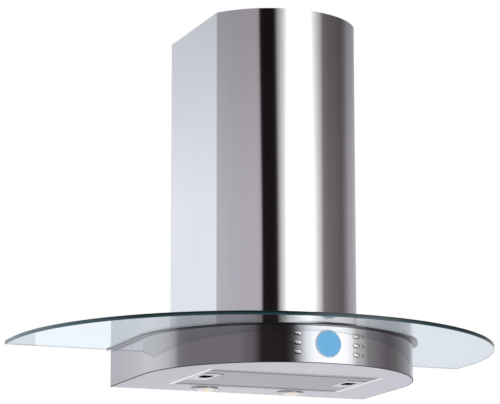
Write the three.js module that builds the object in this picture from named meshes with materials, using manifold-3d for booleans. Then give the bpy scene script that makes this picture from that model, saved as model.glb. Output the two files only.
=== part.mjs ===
// Wall-mounted range hood with a half-round glass canopy.
// Millimetres. Seen by the cook, +X is right, -Y is front and +Z is up.
// The origin is the middle of the body's back face, on the wall.

import * as THREE from "three";
import { mergeVertices } from "three/addons/utils/BufferGeometryUtils.js";
import Module from "manifold-3d";

const wasm = await Module();
wasm.setup();

// ---- Driving dimensions ----

const gap = 0.3; // between pieces that touch
const overcut = 1; // how far a cutter passes the faces it cuts
const slidingGap = 1.2; // between the two chimney covers
const curveTolerance = 0.15; // how far a facet may lie inside its true curve

// Body
const bodyWidth = 500;
const bodyDepth = 420;
const bodyHeight = 65;
const bodySheet = 1.2;
const bodyTopLip = 14;

// Glass canopy and what it lies on
const glassWidth = 900;
const glassDepth = 500;
const glassThickness = 7;
const seatOverhang = 9;
const seatThickness = 0.8;
const gasketOverhang = 7;
const gasketThickness = 0.8;
const gasketWidth = 27;
const airOpeningMargin = 6; // inside the motor box's walls

// Chimney covers
const chimneyWidth = 270;
const chimneyDepth = 310;
const chimneyArcRadius = (chimneyWidth * 16) / 27;
const chimneyCornerRadius = 11;
const chimneySheet = 1.2;
const chimneyBackLip = 16;
const lowerChimneyHeight = 579;
const upperChimneyHeight = 470;
const upperChimneySink = 4; // how far the pushed-in upper cover lies below the lower one's top
const ventSlotCount = 7;
const ventSlotWidth = 5;
const ventSlotHeight = 42;
const ventSlotPitch = 14;
const ventSlotDrop = 60; // from the upper cover's top
const ventSlotBack = 70; // from the wall to the first slot's middle
const upperBracketDepth = 60;
const upperBracketHeight = 30;
const upperBracketDrop = 15;
const upperBracketSheet = 2;

// Motor box and fan
const boxWidth = 220;
const boxDepth = 228;
const boxSheet = 1;
const boxFlange = 11;
const boxWallDistance = 4;
const fanAxisBack = 104; // from the wall
const scrollWidth = 112;
const scrollWall = 2;
const scrollLargeRadius = 104;
const scrollSmallRadius = 84;
const scrollNeckHeight = 150;
const scrollFloorClearance = 8;
const scrollFlare = 20;
const inletRadius = 62;
const impellerRadius = 75;
const impellerLength = 100;
const impellerRingLength = 3;
const impellerHubRadius = 10;
const impellerHubStart = -14;
const impellerHubEnd = 8;
const impellerDiscThickness = 2;
const bladeCount = 20;
const bladeChord = 12;
const bladeThickness = 1.2;
const bladeLean = 32; // degrees from the radius
const wheelSides = 32;
const shaftRadius = 4;
const shaftStart = -18;
const shaftDepth = 16; // into the motor
const motorStart = 14; // from the casing's middle plane
const motorRadius = 42;
const motorLength = 58;
const motorCapLength = 8;
const motorCapStep = 9;
const motorBracketRing = 8;
const motorBracketSheet = 2.5;
const motorArmWidth = 14;
const motorArmReach = 12; // past the inlet's edge
const capacitorRadius = 17;
const capacitorLength = 60;
const capacitorLift = 40; // above the motor box's foot
const terminalWidth = 30;
const terminalDepth = 40;
const terminalHeight = 34;
const glandNutRadius = 11;
const glandNutHeight = 6;
const glandRadius = 8.5;
const glandHeight = 20;
const glandBore = 4;

// Air outlet
const collarDiameter = 150;
const collarWall = 2;
const collarHeight = 55;
const collarFlangeRadius = 80;
const collarFlangeThickness = 2;
const collarSides = 32;
const stopLipHeight = 18;
const stopLipWidth = 5;
const stopLipThickness = 2;
const damperPinRadius = 2;
const flapThickness = 1.5;
const flapEdgeClearance = 1.5;
const knuckleLength = 16;
const knucklePitch = 20;
const knuckleWall = 2.2;
const knuckleGap = 0.7; // from the flap's straight edge

// Grease filter and its opening
const filterOpeningWidth = 334;
const filterOpeningFront = 289; // from the wall
const filterOpeningRear = 75; // from the wall
const railWidth = 10;
const railHeight = 11;
const reliefLength = 350;
const reliefWidth = 1.4;
const filterSideGap = 1;
const filterEndGap = 1.6;
const filterHeight = 15;
const filterFaceSheet = 1;
const filterWall = 3;
const filterHookReach = 5;
const filterHookWidth = 40;
const filterHookSpacing = 200;
const filterHookSheet = 1.5;
const filterFloor = 1.2;
const meshSink = 3; // below the frame's top
const handleWidth = 37;
const handleLength = 80;
const handleSheet = 1.2;
const handleFront = 227; // from the wall
const handleTravel = 8;
const fingerHoleWidth = 22;
const fingerHoleLength = 34;
const fingerHoleStart = 20; // from the handle's front edge
const handleClearance = 1.2;
const latchWidth = 9;
const latchThickness = 3;
const latchRiserLength = 6;
const latchShift = 3; // outward from the handle's middle
const latchLift = 0.6; // above the panel's upper face
const perforationCount = 12;
const perforationWidth = 18;
const perforationLength = 3;
const perforationInset = 19;
const perforationMargin = 12;

// Lamps
const lampOffset = 84;
const lampBack = 44; // from the wall
const lampBezelRadius = 25;
const lampBezelDepth = 3;
const lampCanRadius = 22.5;
const lampCanWall = 1.2;
const lampCanHeight = 34;
const lampBulbLift = 4;
const lensRadius = 20.8;
const lensBulge = 4;
const lensRim = 2;
const bulbRadius = 6;
const bulbLength = 16;
const holderHeight = 14;

// Controls
const controlHeight = 1.5; // of the display's middle above the body's middle
const displayRadius = 22;
const displayBezelWidth = 1.4;
const displayProud = 0.9;
const displayDepth = 9;
const displayLensSink = 0.3;
const displayModuleInset = 3;
const buttonOffset = 54.5;
const buttonPitch = 16;
const buttonWidth = 12.5;
const buttonHeight = 6.8;
const buttonClearance = 0.4;
const buttonProud = 1.2;
const buttonTravel = 1.5;
const buttonDepth = 9;
const keeperMargin = 4;
const keeperThickness = 1.5;
const keeperDistance = 1.2; // behind the fascia's sheet
const plungerRadius = 2;
const plungerLength = 3;
const switchWidth = 6;
const boardWidth = 136;
const boardHeight = 52;
const boardThickness = 1.6;
const boardDistance = 24; // behind the fascia's front
const controlBoxWidth = 190;
const controlBoxDepth = 48;
const controlBoxDistance = 40; // behind the fascia's front
const controlBoxHeight = 48;
const transformerInset = bodyTopLip + 4; // from the body's left side
const transformerWidth = 48;
const transformerDepth = 90;
const transformerFront = bodyDepth - bodyWidth / 2; // from the wall, where the side starts to bow
const transformerHeight = 34;

// Fixings
const screwRadius = 2.5;
const screwHeadRadius = 4.5;
const screwHeadHeight = 2.6;
const screwReach = 6; // below the seat plate
const bracketOffset = 180;
const keyholeRadius = 6;
const keyholeSlotHeight = 15;
const bracketWidth = 40;
const bracketSheet = 2.5;
const bracketReach = 22;
const bracketLow = -22;
const bracketHigh = 24;
const bracketSlotLow = -8;
const bracketSlotHigh = 14;

// ---- Levels and places that follow from them ----

const bodyTop = bodyHeight / 2;
const bodyBottom = -bodyHeight / 2;
const seatBottom = bodyTop + gap;
const gasketBottom = seatBottom + seatThickness + gap;
const glassBottom = gasketBottom + gasketThickness + gap;
const glassTop = glassBottom + glassThickness;
const chimneyBottom = glassTop + gap;
const lowerChimneyTop = chimneyBottom + lowerChimneyHeight;
const upperChimneyTop = lowerChimneyTop - upperChimneySink;
const boxBottom = glassTop + gap;
const fanAxisHeight = boxBottom + scrollFloorClearance + scrollLargeRadius;
const boxTop = fanAxisHeight + scrollNeckHeight + gap + boxSheet;
const boxBack = -boxWallDistance;
const boxFront = boxBack - boxDepth;
const collarBack = fanAxisBack + scrollLargeRadius / 2 - scrollFlare / 2;
const panelTop = bodyBottom + bodySheet;
const filterHalfWidth = filterOpeningWidth / 2 - railWidth - filterSideGap;
const airHalfWidth = boxWidth / 2 - airOpeningMargin;
const screwInset = boxFlange / 2;

// ---- Solids ----

// A closed geometry as a solid that can be cut and joined.
function solid(geometry) {
  geometry.deleteAttribute("normal");
  geometry.deleteAttribute("uv");
  const merged = mergeVertices(geometry, 1e-4);
  const corners = merged.getIndex().array;
  const triangles = [];
  for (let i = 0; i < corners.length; i += 3) {
    const [a, b, c] = [corners[i], corners[i + 1], corners[i + 2]];
    if (a !== b && b !== c && c !== a) triangles.push(a, b, c);
  }
  return new wasm.Manifold(new wasm.Mesh({
    numProp: 3,
    vertProperties: new Float32Array(merged.getAttribute("position").array),
    triVerts: new Uint32Array(triangles),
  }));
}

// A named mesh with its own material, made from a solid.
function piece(name, shape, finish) {
  const { numProp, vertProperties, triVerts } = shape.getMesh();
  const geometry = new THREE.BufferGeometry();
  geometry.setAttribute("position", new THREE.BufferAttribute(vertProperties, numProp));
  geometry.setIndex(new THREE.BufferAttribute(triVerts, 1));
  geometry.computeVertexNormals();
  const mesh = new THREE.Mesh(geometry, new THREE.MeshStandardMaterial(finish));
  mesh.name = name;
  return mesh;
}

// A block between two limits on each axis.
function block([x0, x1], [y0, y1], [z0, z1]) {
  const geometry = new THREE.BoxGeometry(x1 - x0, y1 - y0, z1 - z0);
  geometry.translate((x0 + x1) / 2, (y0 + y1) / 2, (z0 + z1) / 2);
  return solid(geometry);
}

function stepsFor(radius, sweep) {
  const step = 2 * Math.acos(1 - curveTolerance / Math.max(radius, 4 * curveTolerance));
  return Math.max(2, Math.ceil(Math.abs(sweep) / step));
}

// A round rod along Z between two heights; sides follow the curve tolerance.
function rod(radius, z0, z1, sides = Math.max(12, stepsFor(radius, 2 * Math.PI))) {
  const geometry = new THREE.CylinderGeometry(radius, radius, z1 - z0, sides);
  geometry.rotateX(Math.PI / 2);
  geometry.translate(0, 0, (z0 + z1) / 2);
  return solid(geometry);
}

// The same rod along X.
function rodAlongX(radius, x0, x1, sides) {
  return rod(radius, x0, x1, sides).rotate([0, 90, 0]);
}

// The same rod along Y.
function rodAlongY(radius, y0, y1, sides) {
  return rod(radius, -y1, -y0, sides).rotate([90, 0, 0]);
}

// A ring along Z.
function ring(outerRadius, innerRadius, z0, z1, sides) {
  return rod(outerRadius, z0, z1, sides).subtract(rod(innerRadius, z0 - overcut, z1 + overcut, sides));
}

// A flat outline raised between two heights.
function plate(outline, z0, z1) {
  const geometry = new THREE.ExtrudeGeometry(outline, { depth: z1 - z0, bevelEnabled: false });
  geometry.translate(0, 0, z0);
  return solid(geometry);
}

function arcPoints(centreX, centreY, radius, from, to, steps) {
  const points = [];
  for (let i = 0; i <= steps; i += 1) {
    const angle = from + ((to - from) * i) / steps;
    const [x, y] = [centreX + radius * Math.cos(angle), centreY + radius * Math.sin(angle)];
    points.push(new THREE.Vector2(x, y));
  }
  return points;
}

// Plan outline of a bow shallower than its half circle: an arc closed by the back's straight line.
function backedArc(centreY, radius, back) {
  const end = Math.asin((-back - centreY) / radius);
  const steps = 2 * Math.ceil(stepsFor(radius, Math.PI + 2 * end) / 2);
  return new THREE.Shape(arcPoints(0, centreY, radius, -Math.PI - end, end, steps));
}

// Plan outline with a straight back, straight sides and a bowed front. inset shrinks it on the
// sides and front, and back moves its rear edge away from the wall.
function bowedOutline({ width, depth, arcRadius, cornerRadius }, inset = 0, back = 0) {
  const half = width / 2 - inset;
  const centreY = arcRadius - depth;
  const reach = width / 2 - cornerRadius;
  const cornerY = centreY - Math.sqrt(Math.max((arcRadius - cornerRadius) ** 2 - reach ** 2, 0));
  if (cornerY > -back) return backedArc(centreY, arcRadius - inset, back);
  const edge = Math.atan2(cornerY - centreY, reach);
  const frontSteps = 2 * Math.ceil(stepsFor(arcRadius, Math.PI + 2 * edge) / 2);
  const points = [new THREE.Vector2(half, -back), new THREE.Vector2(-half, -back)];
  const corner = Math.max(cornerRadius - inset, 0.2);
  if (cornerRadius > 0) {
    points.push(...arcPoints(-reach, cornerY, corner, -Math.PI, -Math.PI - edge, 4).slice(0, -1));
  }
  points.push(...arcPoints(0, centreY, arcRadius - inset, -Math.PI - edge, edge, frontSteps));
  if (cornerRadius > 0) {
    points.push(...arcPoints(reach, cornerY, corner, edge, 0, 4).slice(1));
  }
  return new THREE.Shape(points);
}

// Outline with two straight sides and half-round ends.
function pillOutline(width, height) {
  const radius = height / 2;
  const reach = width / 2 - radius;
  return new THREE.Shape([
    ...arcPoints(reach, 0, radius, -Math.PI / 2, Math.PI / 2, 6),
    ...arcPoints(-reach, 0, radius, Math.PI / 2, (3 * Math.PI) / 2, 6),
  ]);
}

const bodyPlan = { width: bodyWidth, depth: bodyDepth, arcRadius: bodyWidth / 2, cornerRadius: 0 };
const glassPlan = { width: glassWidth, depth: glassDepth, arcRadius: glassWidth / 2, cornerRadius: 0 };
const chimneyPlan = {
  width: chimneyWidth,
  depth: chimneyDepth,
  arcRadius: chimneyArcRadius,
  cornerRadius: chimneyCornerRadius,
};

// ---- Finishes ----

const brushedSteel = { color: 0xc4c4c8, roughness: 0.35, metalness: 1 };
const zincSteel = { color: 0xa9adb0, roughness: 0.5, metalness: 0.9 };
const clearGlass = { color: 0xb9d8cf, roughness: 0.05, metalness: 0 };
const blackRubber = { color: 0x161616, roughness: 0.8, metalness: 0 };
const blackPlastic = { color: 0x222326, roughness: 0.55, metalness: 0 };
const greyPlastic = { color: 0x8d9093, roughness: 0.6, metalness: 0 };
const whitePlastic = { color: 0xeef1f4, roughness: 0.4, metalness: 0 };
const chrome = { color: 0xd8d8da, roughness: 0.15, metalness: 1 };
const frostedGlass = { color: 0xf4f2ec, roughness: 0.5, metalness: 0 };
const bulbGlass = { color: 0xffdca0, roughness: 0.1, metalness: 0 };
const aluminiumMesh = { color: 0xb7b8bc, roughness: 0.6, metalness: 0.9 };
const displayBlue = { color: 0x74b7e4, roughness: 0.15, metalness: 0 };
const circuitGreen = { color: 0x1f5b3a, roughness: 0.6, metalness: 0 };

const hood = new THREE.Group();

// ---- Body ----

function screwPlaces() {
  const places = [];
  for (const x of [-1, 1]) {
    for (const y of [boxBack - screwInset, boxFront + screwInset]) {
      places.push([x * (boxWidth / 2 + screwInset), y]);
    }
  }
  return places;
}

function airOpening(z0, z1) {
  const limits = [boxFront + airOpeningMargin, boxBack - airOpeningMargin];
  return block([-airHalfWidth, airHalfWidth], limits, [z0 - overcut, z1 + overcut]);
}

function withScrewHoles(shape, z0, z1) {
  return screwPlaces().reduce(
    (cut, [x, y]) => cut.subtract(rod(screwRadius + gap, z0 - overcut, z1 + overcut).translate([x, y, 0])),
    shape,
  );
}

// Where the fascia's outer face is, at a given distance from the middle.
function fasciaY(x) {
  const radius = bodyPlan.arcRadius;
  return radius - bodyDepth - Math.sqrt(radius ** 2 - x ** 2);
}

const buttonAngle = Math.asin(buttonOffset / bodyPlan.arcRadius);

// Puts a shape made along -Y at the origin on the fascia, square to it, at a button's place.
function atButton(shape, side, row) {
  const height = controlHeight + row * buttonPitch;
  const turned = shape.rotate([0, 0, (side * buttonAngle * 180) / Math.PI]);
  return turned.translate([side * buttonOffset, fasciaY(buttonOffset), height]);
}

function pillAlongY(width, height, y0, y1) {
  return plate(pillOutline(width, height), -y1, -y0).rotate([90, 0, 0]);
}

function makeFascia() {
  const outer = plate(bowedOutline(bodyPlan), bodyBottom, bodyTop);
  const openBack = -overcut;
  const insideOutline = bowedOutline(bodyPlan, bodySheet, openBack);
  const hollow = plate(insideOutline, bodyBottom - overcut, bodyTop - bodySheet);
  const mouth = plate(bowedOutline(bodyPlan, bodyTopLip, openBack), bodyBottom, bodyTop + overcut);
  const displayHoleRadius = displayRadius + displayBezelWidth + 2 * gap;
  const displayHole = rodAlongY(displayHoleRadius, -bodyDepth - overcut, -bodyDepth + bodyTopLip);
  let fascia = outer.subtract(hollow).subtract(mouth).subtract(displayHole.translate([0, 0, controlHeight]));
  const holeWidth = buttonWidth + 2 * buttonClearance;
  const holeHeight = buttonHeight + 2 * buttonClearance;
  const hole = pillAlongY(holeWidth, holeHeight, -4 * bodySheet, 4 * bodySheet);
  for (const side of [-1, 1]) {
    for (const row of [-1, 0, 1]) fascia = fascia.subtract(atButton(hole, side, row));
  }
  return fascia;
}
hood.add(piece("body_fascia", makeFascia(), brushedSteel));

function makeBottomPanel() {
  const outline = bowedOutline(bodyPlan, bodySheet + gap, bodySheet + gap);
  const [low, high] = [bodyBottom - overcut, panelTop + overcut];
  const half = filterOpeningWidth / 2;
  let panel = plate(outline, bodyBottom, panelTop)
    .subtract(block([-half, half], [-filterOpeningFront, -filterOpeningRear], [low, high]));
  for (const edge of [-filterOpeningFront, -filterOpeningRear - reliefWidth]) {
    const along = [-reliefLength / 2, reliefLength / 2];
    panel = panel.subtract(block(along, [edge, edge + reliefWidth], [low, high]));
  }
  for (const side of [-1, 1]) {
    panel = panel.subtract(rod(lampCanRadius + gap, low, high).translate([side * lampOffset, -lampBack, 0]));
  }
  return panel;
}
hood.add(piece("bottom_panel", makeBottomPanel(), brushedSteel));

// The back panel closes the body and carries the two hooks' keyholes.
function makeBackPanel() {
  const half = bodyWidth / 2 - bodySheet - gap;
  let panel = block([-half, half], [-bodySheet, 0], [bodyBottom, bodyTop - bodySheet - gap]);
  for (const side of [-1, 1]) {
    const through = [-bodySheet - overcut, overcut];
    const hole = rodAlongY(keyholeRadius, ...through).add(
      block([-keyholeRadius / 2, keyholeRadius / 2], through, [0, keyholeSlotHeight]),
    );
    panel = panel.subtract(hole.translate([side * bracketOffset, 0, 0]));
  }
  return panel;
}
hood.add(piece("back_panel", makeBackPanel(), zincSteel));

// Steel doubler behind each keyhole, bent forward at its top edge.
for (const [sideName, side] of [["left", -1], ["right", 1]]) {
  const back = -bodySheet - gap;
  const across = [-bracketWidth / 2, bracketWidth / 2];
  const upright = block(across, [back - bracketSheet, back], [bracketLow, bracketHigh]);
  const shelf = block(across, [back - bracketReach, back], [bracketHigh - bracketSheet, bracketHigh]);
  const slot = block(
    [-keyholeRadius / 2, keyholeRadius / 2],
    [back - bracketSheet - overcut, back + overcut],
    [bracketSlotLow, bracketSlotHigh],
  );
  const bracket = upright.add(shelf).subtract(slot).translate([side * bracketOffset, 0, 0]);
  hood.add(piece(`hanging_bracket_${sideName}`, bracket, zincSteel));
}

// ---- Glass canopy, gasket and seat ----

const seatTop = seatBottom + seatThickness;
const seat = plate(bowedOutline(bodyPlan, -seatOverhang), seatBottom, seatTop)
  .subtract(airOpening(seatBottom, seatTop));
hood.add(piece("glass_seat_plate", withScrewHoles(seat, seatBottom, seatTop), brushedSteel));

const gasketTop = gasketBottom + gasketThickness;
const gasketHollow = bowedOutline(bodyPlan, gasketWidth - gasketOverhang, gasketWidth);
const gasket = plate(bowedOutline(bodyPlan, -gasketOverhang), gasketBottom, gasketTop)
  .subtract(plate(gasketHollow, gasketBottom - overcut, gasketTop + overcut))
  .subtract(airOpening(gasketBottom, gasketTop));
hood.add(piece("glass_gasket", withScrewHoles(gasket, gasketBottom, gasketTop), blackRubber));

const glass = plate(bowedOutline(glassPlan), glassBottom, glassTop)
  .subtract(airOpening(glassBottom, glassTop));
hood.add(piece("glass_canopy", withScrewHoles(glass, glassBottom, glassTop), clearGlass));

// ---- Chimney covers: bowed sheets with a narrow lip along each side of their open back ----

function chimneyCover(inset, z0, z1) {
  const outer = plate(bowedOutline(chimneyPlan, inset, inset), z0, z1);
  const inner = bowedOutline(chimneyPlan, inset + chimneySheet, inset + chimneySheet);
  const openBack = chimneyWidth / 2 - inset - chimneyBackLip;
  return outer
    .subtract(plate(inner, z0 - overcut, z1 + overcut))
    .subtract(block(
      [-openBack, openBack],
      [-inset - chimneySheet - overcut, overcut],
      [z0 - overcut, z1 + overcut],
    ));
}
hood.add(piece("lower_chimney", chimneyCover(0, chimneyBottom, lowerChimneyTop), brushedSteel));

const upperInset = chimneySheet + slidingGap;

function makeUpperChimney() {
  let cover = chimneyCover(upperInset, upperChimneyTop - upperChimneyHeight, upperChimneyTop);
  const slotTop = upperChimneyTop - ventSlotDrop;
  for (let i = 0; i < ventSlotCount; i += 1) {
    const y = -ventSlotBack - i * ventSlotPitch;
    const slot = block(
      [-chimneyWidth, chimneyWidth],
      [y - ventSlotWidth / 2, y + ventSlotWidth / 2],
      [slotTop - ventSlotHeight, slotTop],
    );
    cover = cover.subtract(slot);
  }
  return cover;
}
hood.add(piece("upper_chimney", makeUpperChimney(), brushedSteel));

// A U-shaped strap inside the top of the upper cover, by which it is screwed to the wall.
function makeUpperBracket() {
  const inset = upperInset + chimneySheet + gap;
  const half = chimneyWidth / 2 - inset;
  const z1 = upperChimneyTop - upperBracketDrop;
  const z0 = z1 - upperBracketHeight;
  const strap = block([-half, half], [-upperBracketDepth, -inset], [z0, z1]);
  return strap.subtract(block(
    [-half + upperBracketSheet, half - upperBracketSheet],
    [-upperBracketDepth - overcut, -inset - upperBracketSheet],
    [z0 - overcut, z1 + overcut],
  ));
}
hood.add(piece("upper_bracket", makeUpperBracket(), zincSteel));

// ---- Motor box ----

function makeMotorBox() {
  const half = boxWidth / 2;
  const flange = block(
    [-half - boxFlange, half + boxFlange],
    [boxFront - boxFlange, boxBack],
    [boxBottom, boxBottom + boxSheet],
  );
  const inside = block(
    [-half + boxSheet, half - boxSheet],
    [boxFront + boxSheet, boxBack - boxSheet],
    [boxBottom - overcut, boxTop - boxSheet],
  );
  const outletRadius = collarDiameter / 2 - collarWall;
  const outlet = rod(outletRadius, boxTop - boxSheet - overcut, boxTop + overcut)
    .translate([0, -collarBack, 0]);
  const box = block([-half, half], [boxFront, boxBack], [boxBottom, boxTop]);
  return withScrewHoles(box.add(flange).subtract(inside).subtract(outlet), boxBottom, boxBottom + boxSheet);
}
hood.add(piece("motor_box", makeMotorBox(), zincSteel));

screwPlaces().forEach(([x, y], index) => {
  const headBottom = boxBottom + boxSheet + gap;
  const screw = rod(screwRadius, seatBottom - screwReach, headBottom + overcut, 10)
    .add(rod(screwHeadRadius, headBottom, headBottom + screwHeadHeight, 12));
  hood.add(piece(`clamp_screw_${index + 1}`, screw.translate([x, y, 0]), zincSteel));
});

// ---- Fan: everything here is made around the shaft, which runs along X ----

const fan = new THREE.Group();
fan.position.set(0, -fanAxisBack, fanAxisHeight);
hood.add(fan);

// Spiral casing seen from its left side: first coordinate to the front, second up.
function scrollOutline(inset, top) {
  const tongue = (5 * Math.PI) / 12;
  const sweep = 2 * Math.PI - tongue;
  const steps = 26;
  const points = [new THREE.Vector2(scrollLargeRadius - inset, top)];
  for (let i = 0; i <= steps; i += 1) {
    const share = i / steps;
    const radius = scrollLargeRadius + (scrollSmallRadius - scrollLargeRadius) * share - inset;
    const angle = -sweep * share;
    points.push(new THREE.Vector2(radius * Math.cos(angle), radius * Math.sin(angle)));
  }
  const edge = scrollSmallRadius * Math.cos(tongue) + inset * 1.3;
  points.push(new THREE.Vector2(edge, scrollSmallRadius * Math.sin(tongue)));
  points.push(new THREE.Vector2(-scrollFlare + inset * 1.3, top));
  return new THREE.Shape(points.reverse());
}

// Raises the spiral outline along X, between two distances from the casing's middle plane.
function scrollPlate(inset, top, x0, x1) {
  return plate(scrollOutline(inset, top), x0, x1).rotate([90, 0, -90]);
}

function scrollHalf(side) {
  const [near, far] = [gap / 2, scrollWidth / 2];
  const limits = side < 0 ? [-far, -near] : [near, far];
  const inner = side < 0 ? [-far + scrollWall, 1] : [-1, far - scrollWall];
  return scrollPlate(0, scrollNeckHeight, ...limits)
    .subtract(scrollPlate(scrollWall, scrollNeckHeight + overcut, ...inner))
    .subtract(rodAlongX(inletRadius, -far - overcut, far + overcut, 32));
}
fan.add(piece("scroll_half_left", scrollHalf(-1), blackPlastic));
fan.add(piece("scroll_half_right", scrollHalf(1), blackPlastic));

function makeImpeller() {
  const half = impellerLength / 2;
  const inner = impellerRadius - bladeChord - 1;
  const discHalf = impellerDiscThickness / 2;
  const hub = rodAlongX(impellerHubRadius, impellerHubStart, impellerHubEnd, 16);
  let wheel = rodAlongX(impellerRadius, -discHalf, discHalf, wheelSides).add(hub);
  for (const side of [-1, 1]) {
    const endRing = ring(impellerRadius, inner, 0, impellerRingLength, wheelSides).rotate([0, 90, 0]);
    wheel = wheel.add(endRing.translate([side < 0 ? -half : half - impellerRingLength, 0, 0]));
  }
  for (let i = 0; i < bladeCount; i += 1) {
    const blade = block(
      [-half + 1, half - 1],
      [-bladeThickness / 2, bladeThickness / 2],
      [-bladeChord / 2, bladeChord / 2],
    );
    const leaned = blade.rotate([bladeLean, 0, 0]);
    const placed = leaned.translate([0, 0, impellerRadius - bladeChord / 2 - 1.2]);
    wheel = wheel.add(placed.rotate([(360 * i) / bladeCount, 0, 0]));
  }
  const bore = rodAlongX(shaftRadius + gap, impellerHubStart - overcut, impellerHubEnd + overcut, 16);
  return wheel.subtract(bore);
}
fan.add(piece("impeller", makeImpeller(), greyPlastic));

fan.add(piece("motor_shaft", rodAlongX(shaftRadius, shaftStart, motorStart + shaftDepth, 16), chrome));

function makeMotor() {
  const end = motorStart + motorLength;
  const can = rodAlongX(motorRadius, motorStart, end - motorCapLength, 28);
  const cap = rodAlongX(motorRadius - motorCapStep, end - motorCapLength - overcut, end, 28);
  const boreEnd = motorStart + shaftDepth + overcut;
  return can.add(cap).subtract(rodAlongX(shaftRadius + 2 * gap, motorStart - overcut, boreEnd, 20));
}
fan.add(piece("motor", makeMotor(), zincSteel));

// Three arms that carry the motor on the casing's right inlet.
function makeMotorBracket() {
  const x0 = scrollWidth / 2 + gap;
  const x1 = x0 + motorBracketSheet;
  const armLimits = [motorRadius, inletRadius + motorArmReach];
  const arm = block([x0, x1], [-motorArmWidth / 2, motorArmWidth / 2], armLimits);
  let bracket = rodAlongX(motorRadius + motorBracketRing, x0, x1, 28);
  for (const turn of [30, 150, 270]) {
    bracket = bracket.add(arm.rotate([turn, 0, 0]));
  }
  return bracket.subtract(rodAlongX(motorRadius + 2 * gap, x0 - overcut, x1 + overcut, 28));
}
fan.add(piece("motor_bracket", makeMotorBracket(), zincSteel));

const capacitorX = -boxWidth / 2 + boxSheet + gap + capacitorRadius;
const capacitorFoot = boxBottom + capacitorLift;
const capacitor = rod(capacitorRadius, capacitorFoot, capacitorFoot + capacitorLength, 20)
  .translate([capacitorX, boxBack - boxSheet - gap - capacitorRadius, 0]);
hood.add(piece("capacitor", capacitor, greyPlastic));

// ---- Air outlet: everything here is made around the collar's axis, from its foot up ----

const outlet = new THREE.Group();
outlet.position.set(0, -collarBack, boxTop + gap);
hood.add(outlet);

const collarRadius = collarDiameter / 2;
const collarInside = collarRadius - collarWall;
const damperHeight = stopLipHeight + gap + flapThickness / 2;
const knuckleRadius = damperPinRadius + gap + knuckleWall;

const collar = ring(collarRadius, collarInside, 0, collarHeight, collarSides)
  .add(ring(collarFlangeRadius, collarInside, 0, collarFlangeThickness, collarSides))
  .add(ring(
    collarRadius - collarWall / 4,
    collarInside - stopLipWidth,
    stopLipHeight - stopLipThickness,
    stopLipHeight,
    collarSides,
  ));
const pinHole = rodAlongX(damperPinRadius + gap, -collarRadius - overcut, collarRadius + overcut, 12);
outlet.add(piece("outlet_collar", collar.subtract(pinHole.translate([0, 0, damperHeight])), blackPlastic));

const damperPin = rodAlongX(damperPinRadius, -collarRadius + gap, collarRadius - gap, 12);
outlet.add(piece("damper_pin", damperPin.translate([0, 0, damperHeight]), chrome));

// A half-round flap with two hinge knuckles; side is -1 for the front flap and 1 for the rear one.
function makeFlap(side) {
  const radius = collarInside - flapEdgeClearance;
  const inner = knuckleRadius + knuckleGap;
  const disc = rod(radius, -flapThickness / 2, flapThickness / 2, collarSides);
  const far = radius + overcut;
  const keep = side < 0 ? [-far, -inner] : [inner, far];
  let flap = disc.intersect(block([-far, far], keep, [-flapThickness, flapThickness]));
  for (const place of side < 0 ? [-2, 0] : [-1, 1]) {
    const start = place * knucklePitch + (knucklePitch - knuckleLength) / 2;
    const [root, tip] = [damperPinRadius + 1, inner + overcut];
    const link = side < 0 ? [-tip, -root] : [root, tip];
    flap = flap
      .add(rodAlongX(knuckleRadius, start, start + knuckleLength, 12))
      .add(block([start, start + knuckleLength], link, [-flapThickness / 2, flapThickness / 2]));
  }
  return flap.subtract(rodAlongX(damperPinRadius + gap, -radius, radius, 12));
}
outlet.add(piece("damper_flap_front", makeFlap(-1).translate([0, 0, damperHeight]), greyPlastic));
outlet.add(piece("damper_flap_rear", makeFlap(1).translate([0, 0, damperHeight]), greyPlastic));

// ---- Mains connection on top of the motor box ----

const terminalX = -boxWidth / 2 + terminalWidth / 2;
const terminalY = boxBack - terminalDepth / 2;
const terminal = block(
  [terminalX - terminalWidth / 2, terminalX + terminalWidth / 2],
  [terminalY - terminalDepth / 2, terminalY + terminalDepth / 2],
  [boxTop + gap, boxTop + gap + terminalHeight],
);
hood.add(piece("terminal_box", terminal, greyPlastic));

const glandFoot = boxTop + terminalHeight + 2 * gap;
const glandTop = glandFoot + glandHeight;
const gland = rod(glandNutRadius, glandFoot, glandFoot + glandNutHeight, 6)
  .add(rod(glandRadius, glandFoot + glandNutHeight - gap, glandTop, 16))
  .subtract(rod(glandBore, glandFoot - overcut, glandTop + overcut, 12));
hood.add(piece("cable_gland", gland.translate([terminalX, terminalY, 0]), blackPlastic));

// ---- Grease filter: everything here is made around its hinge line, on the opening's front lip ----

const filter = new THREE.Group();
filter.position.set(0, -filterOpeningFront, panelTop + gap);
hood.add(filter);

const filterStart = filterEndGap;
const filterEnd = filterOpeningFront - filterOpeningRear - filterEndGap;
const faceBottom = bodyBottom - (panelTop + gap);
const faceTop = faceBottom + filterFaceSheet;
const frameBottom = faceTop + gap;
const frameTop = faceBottom + filterHeight;
const handleY = filterOpeningFront - handleFront;
const handleOuter = filterHalfWidth - gap;
const handleInner = handleOuter - handleWidth;
const latchX = (handleOuter + handleInner) / 2 + latchShift;
const latchBottom = latchLift; // the hinge line lies one gap above the panel
const wellInner = handleInner - filterWall - filterSideGap;

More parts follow.
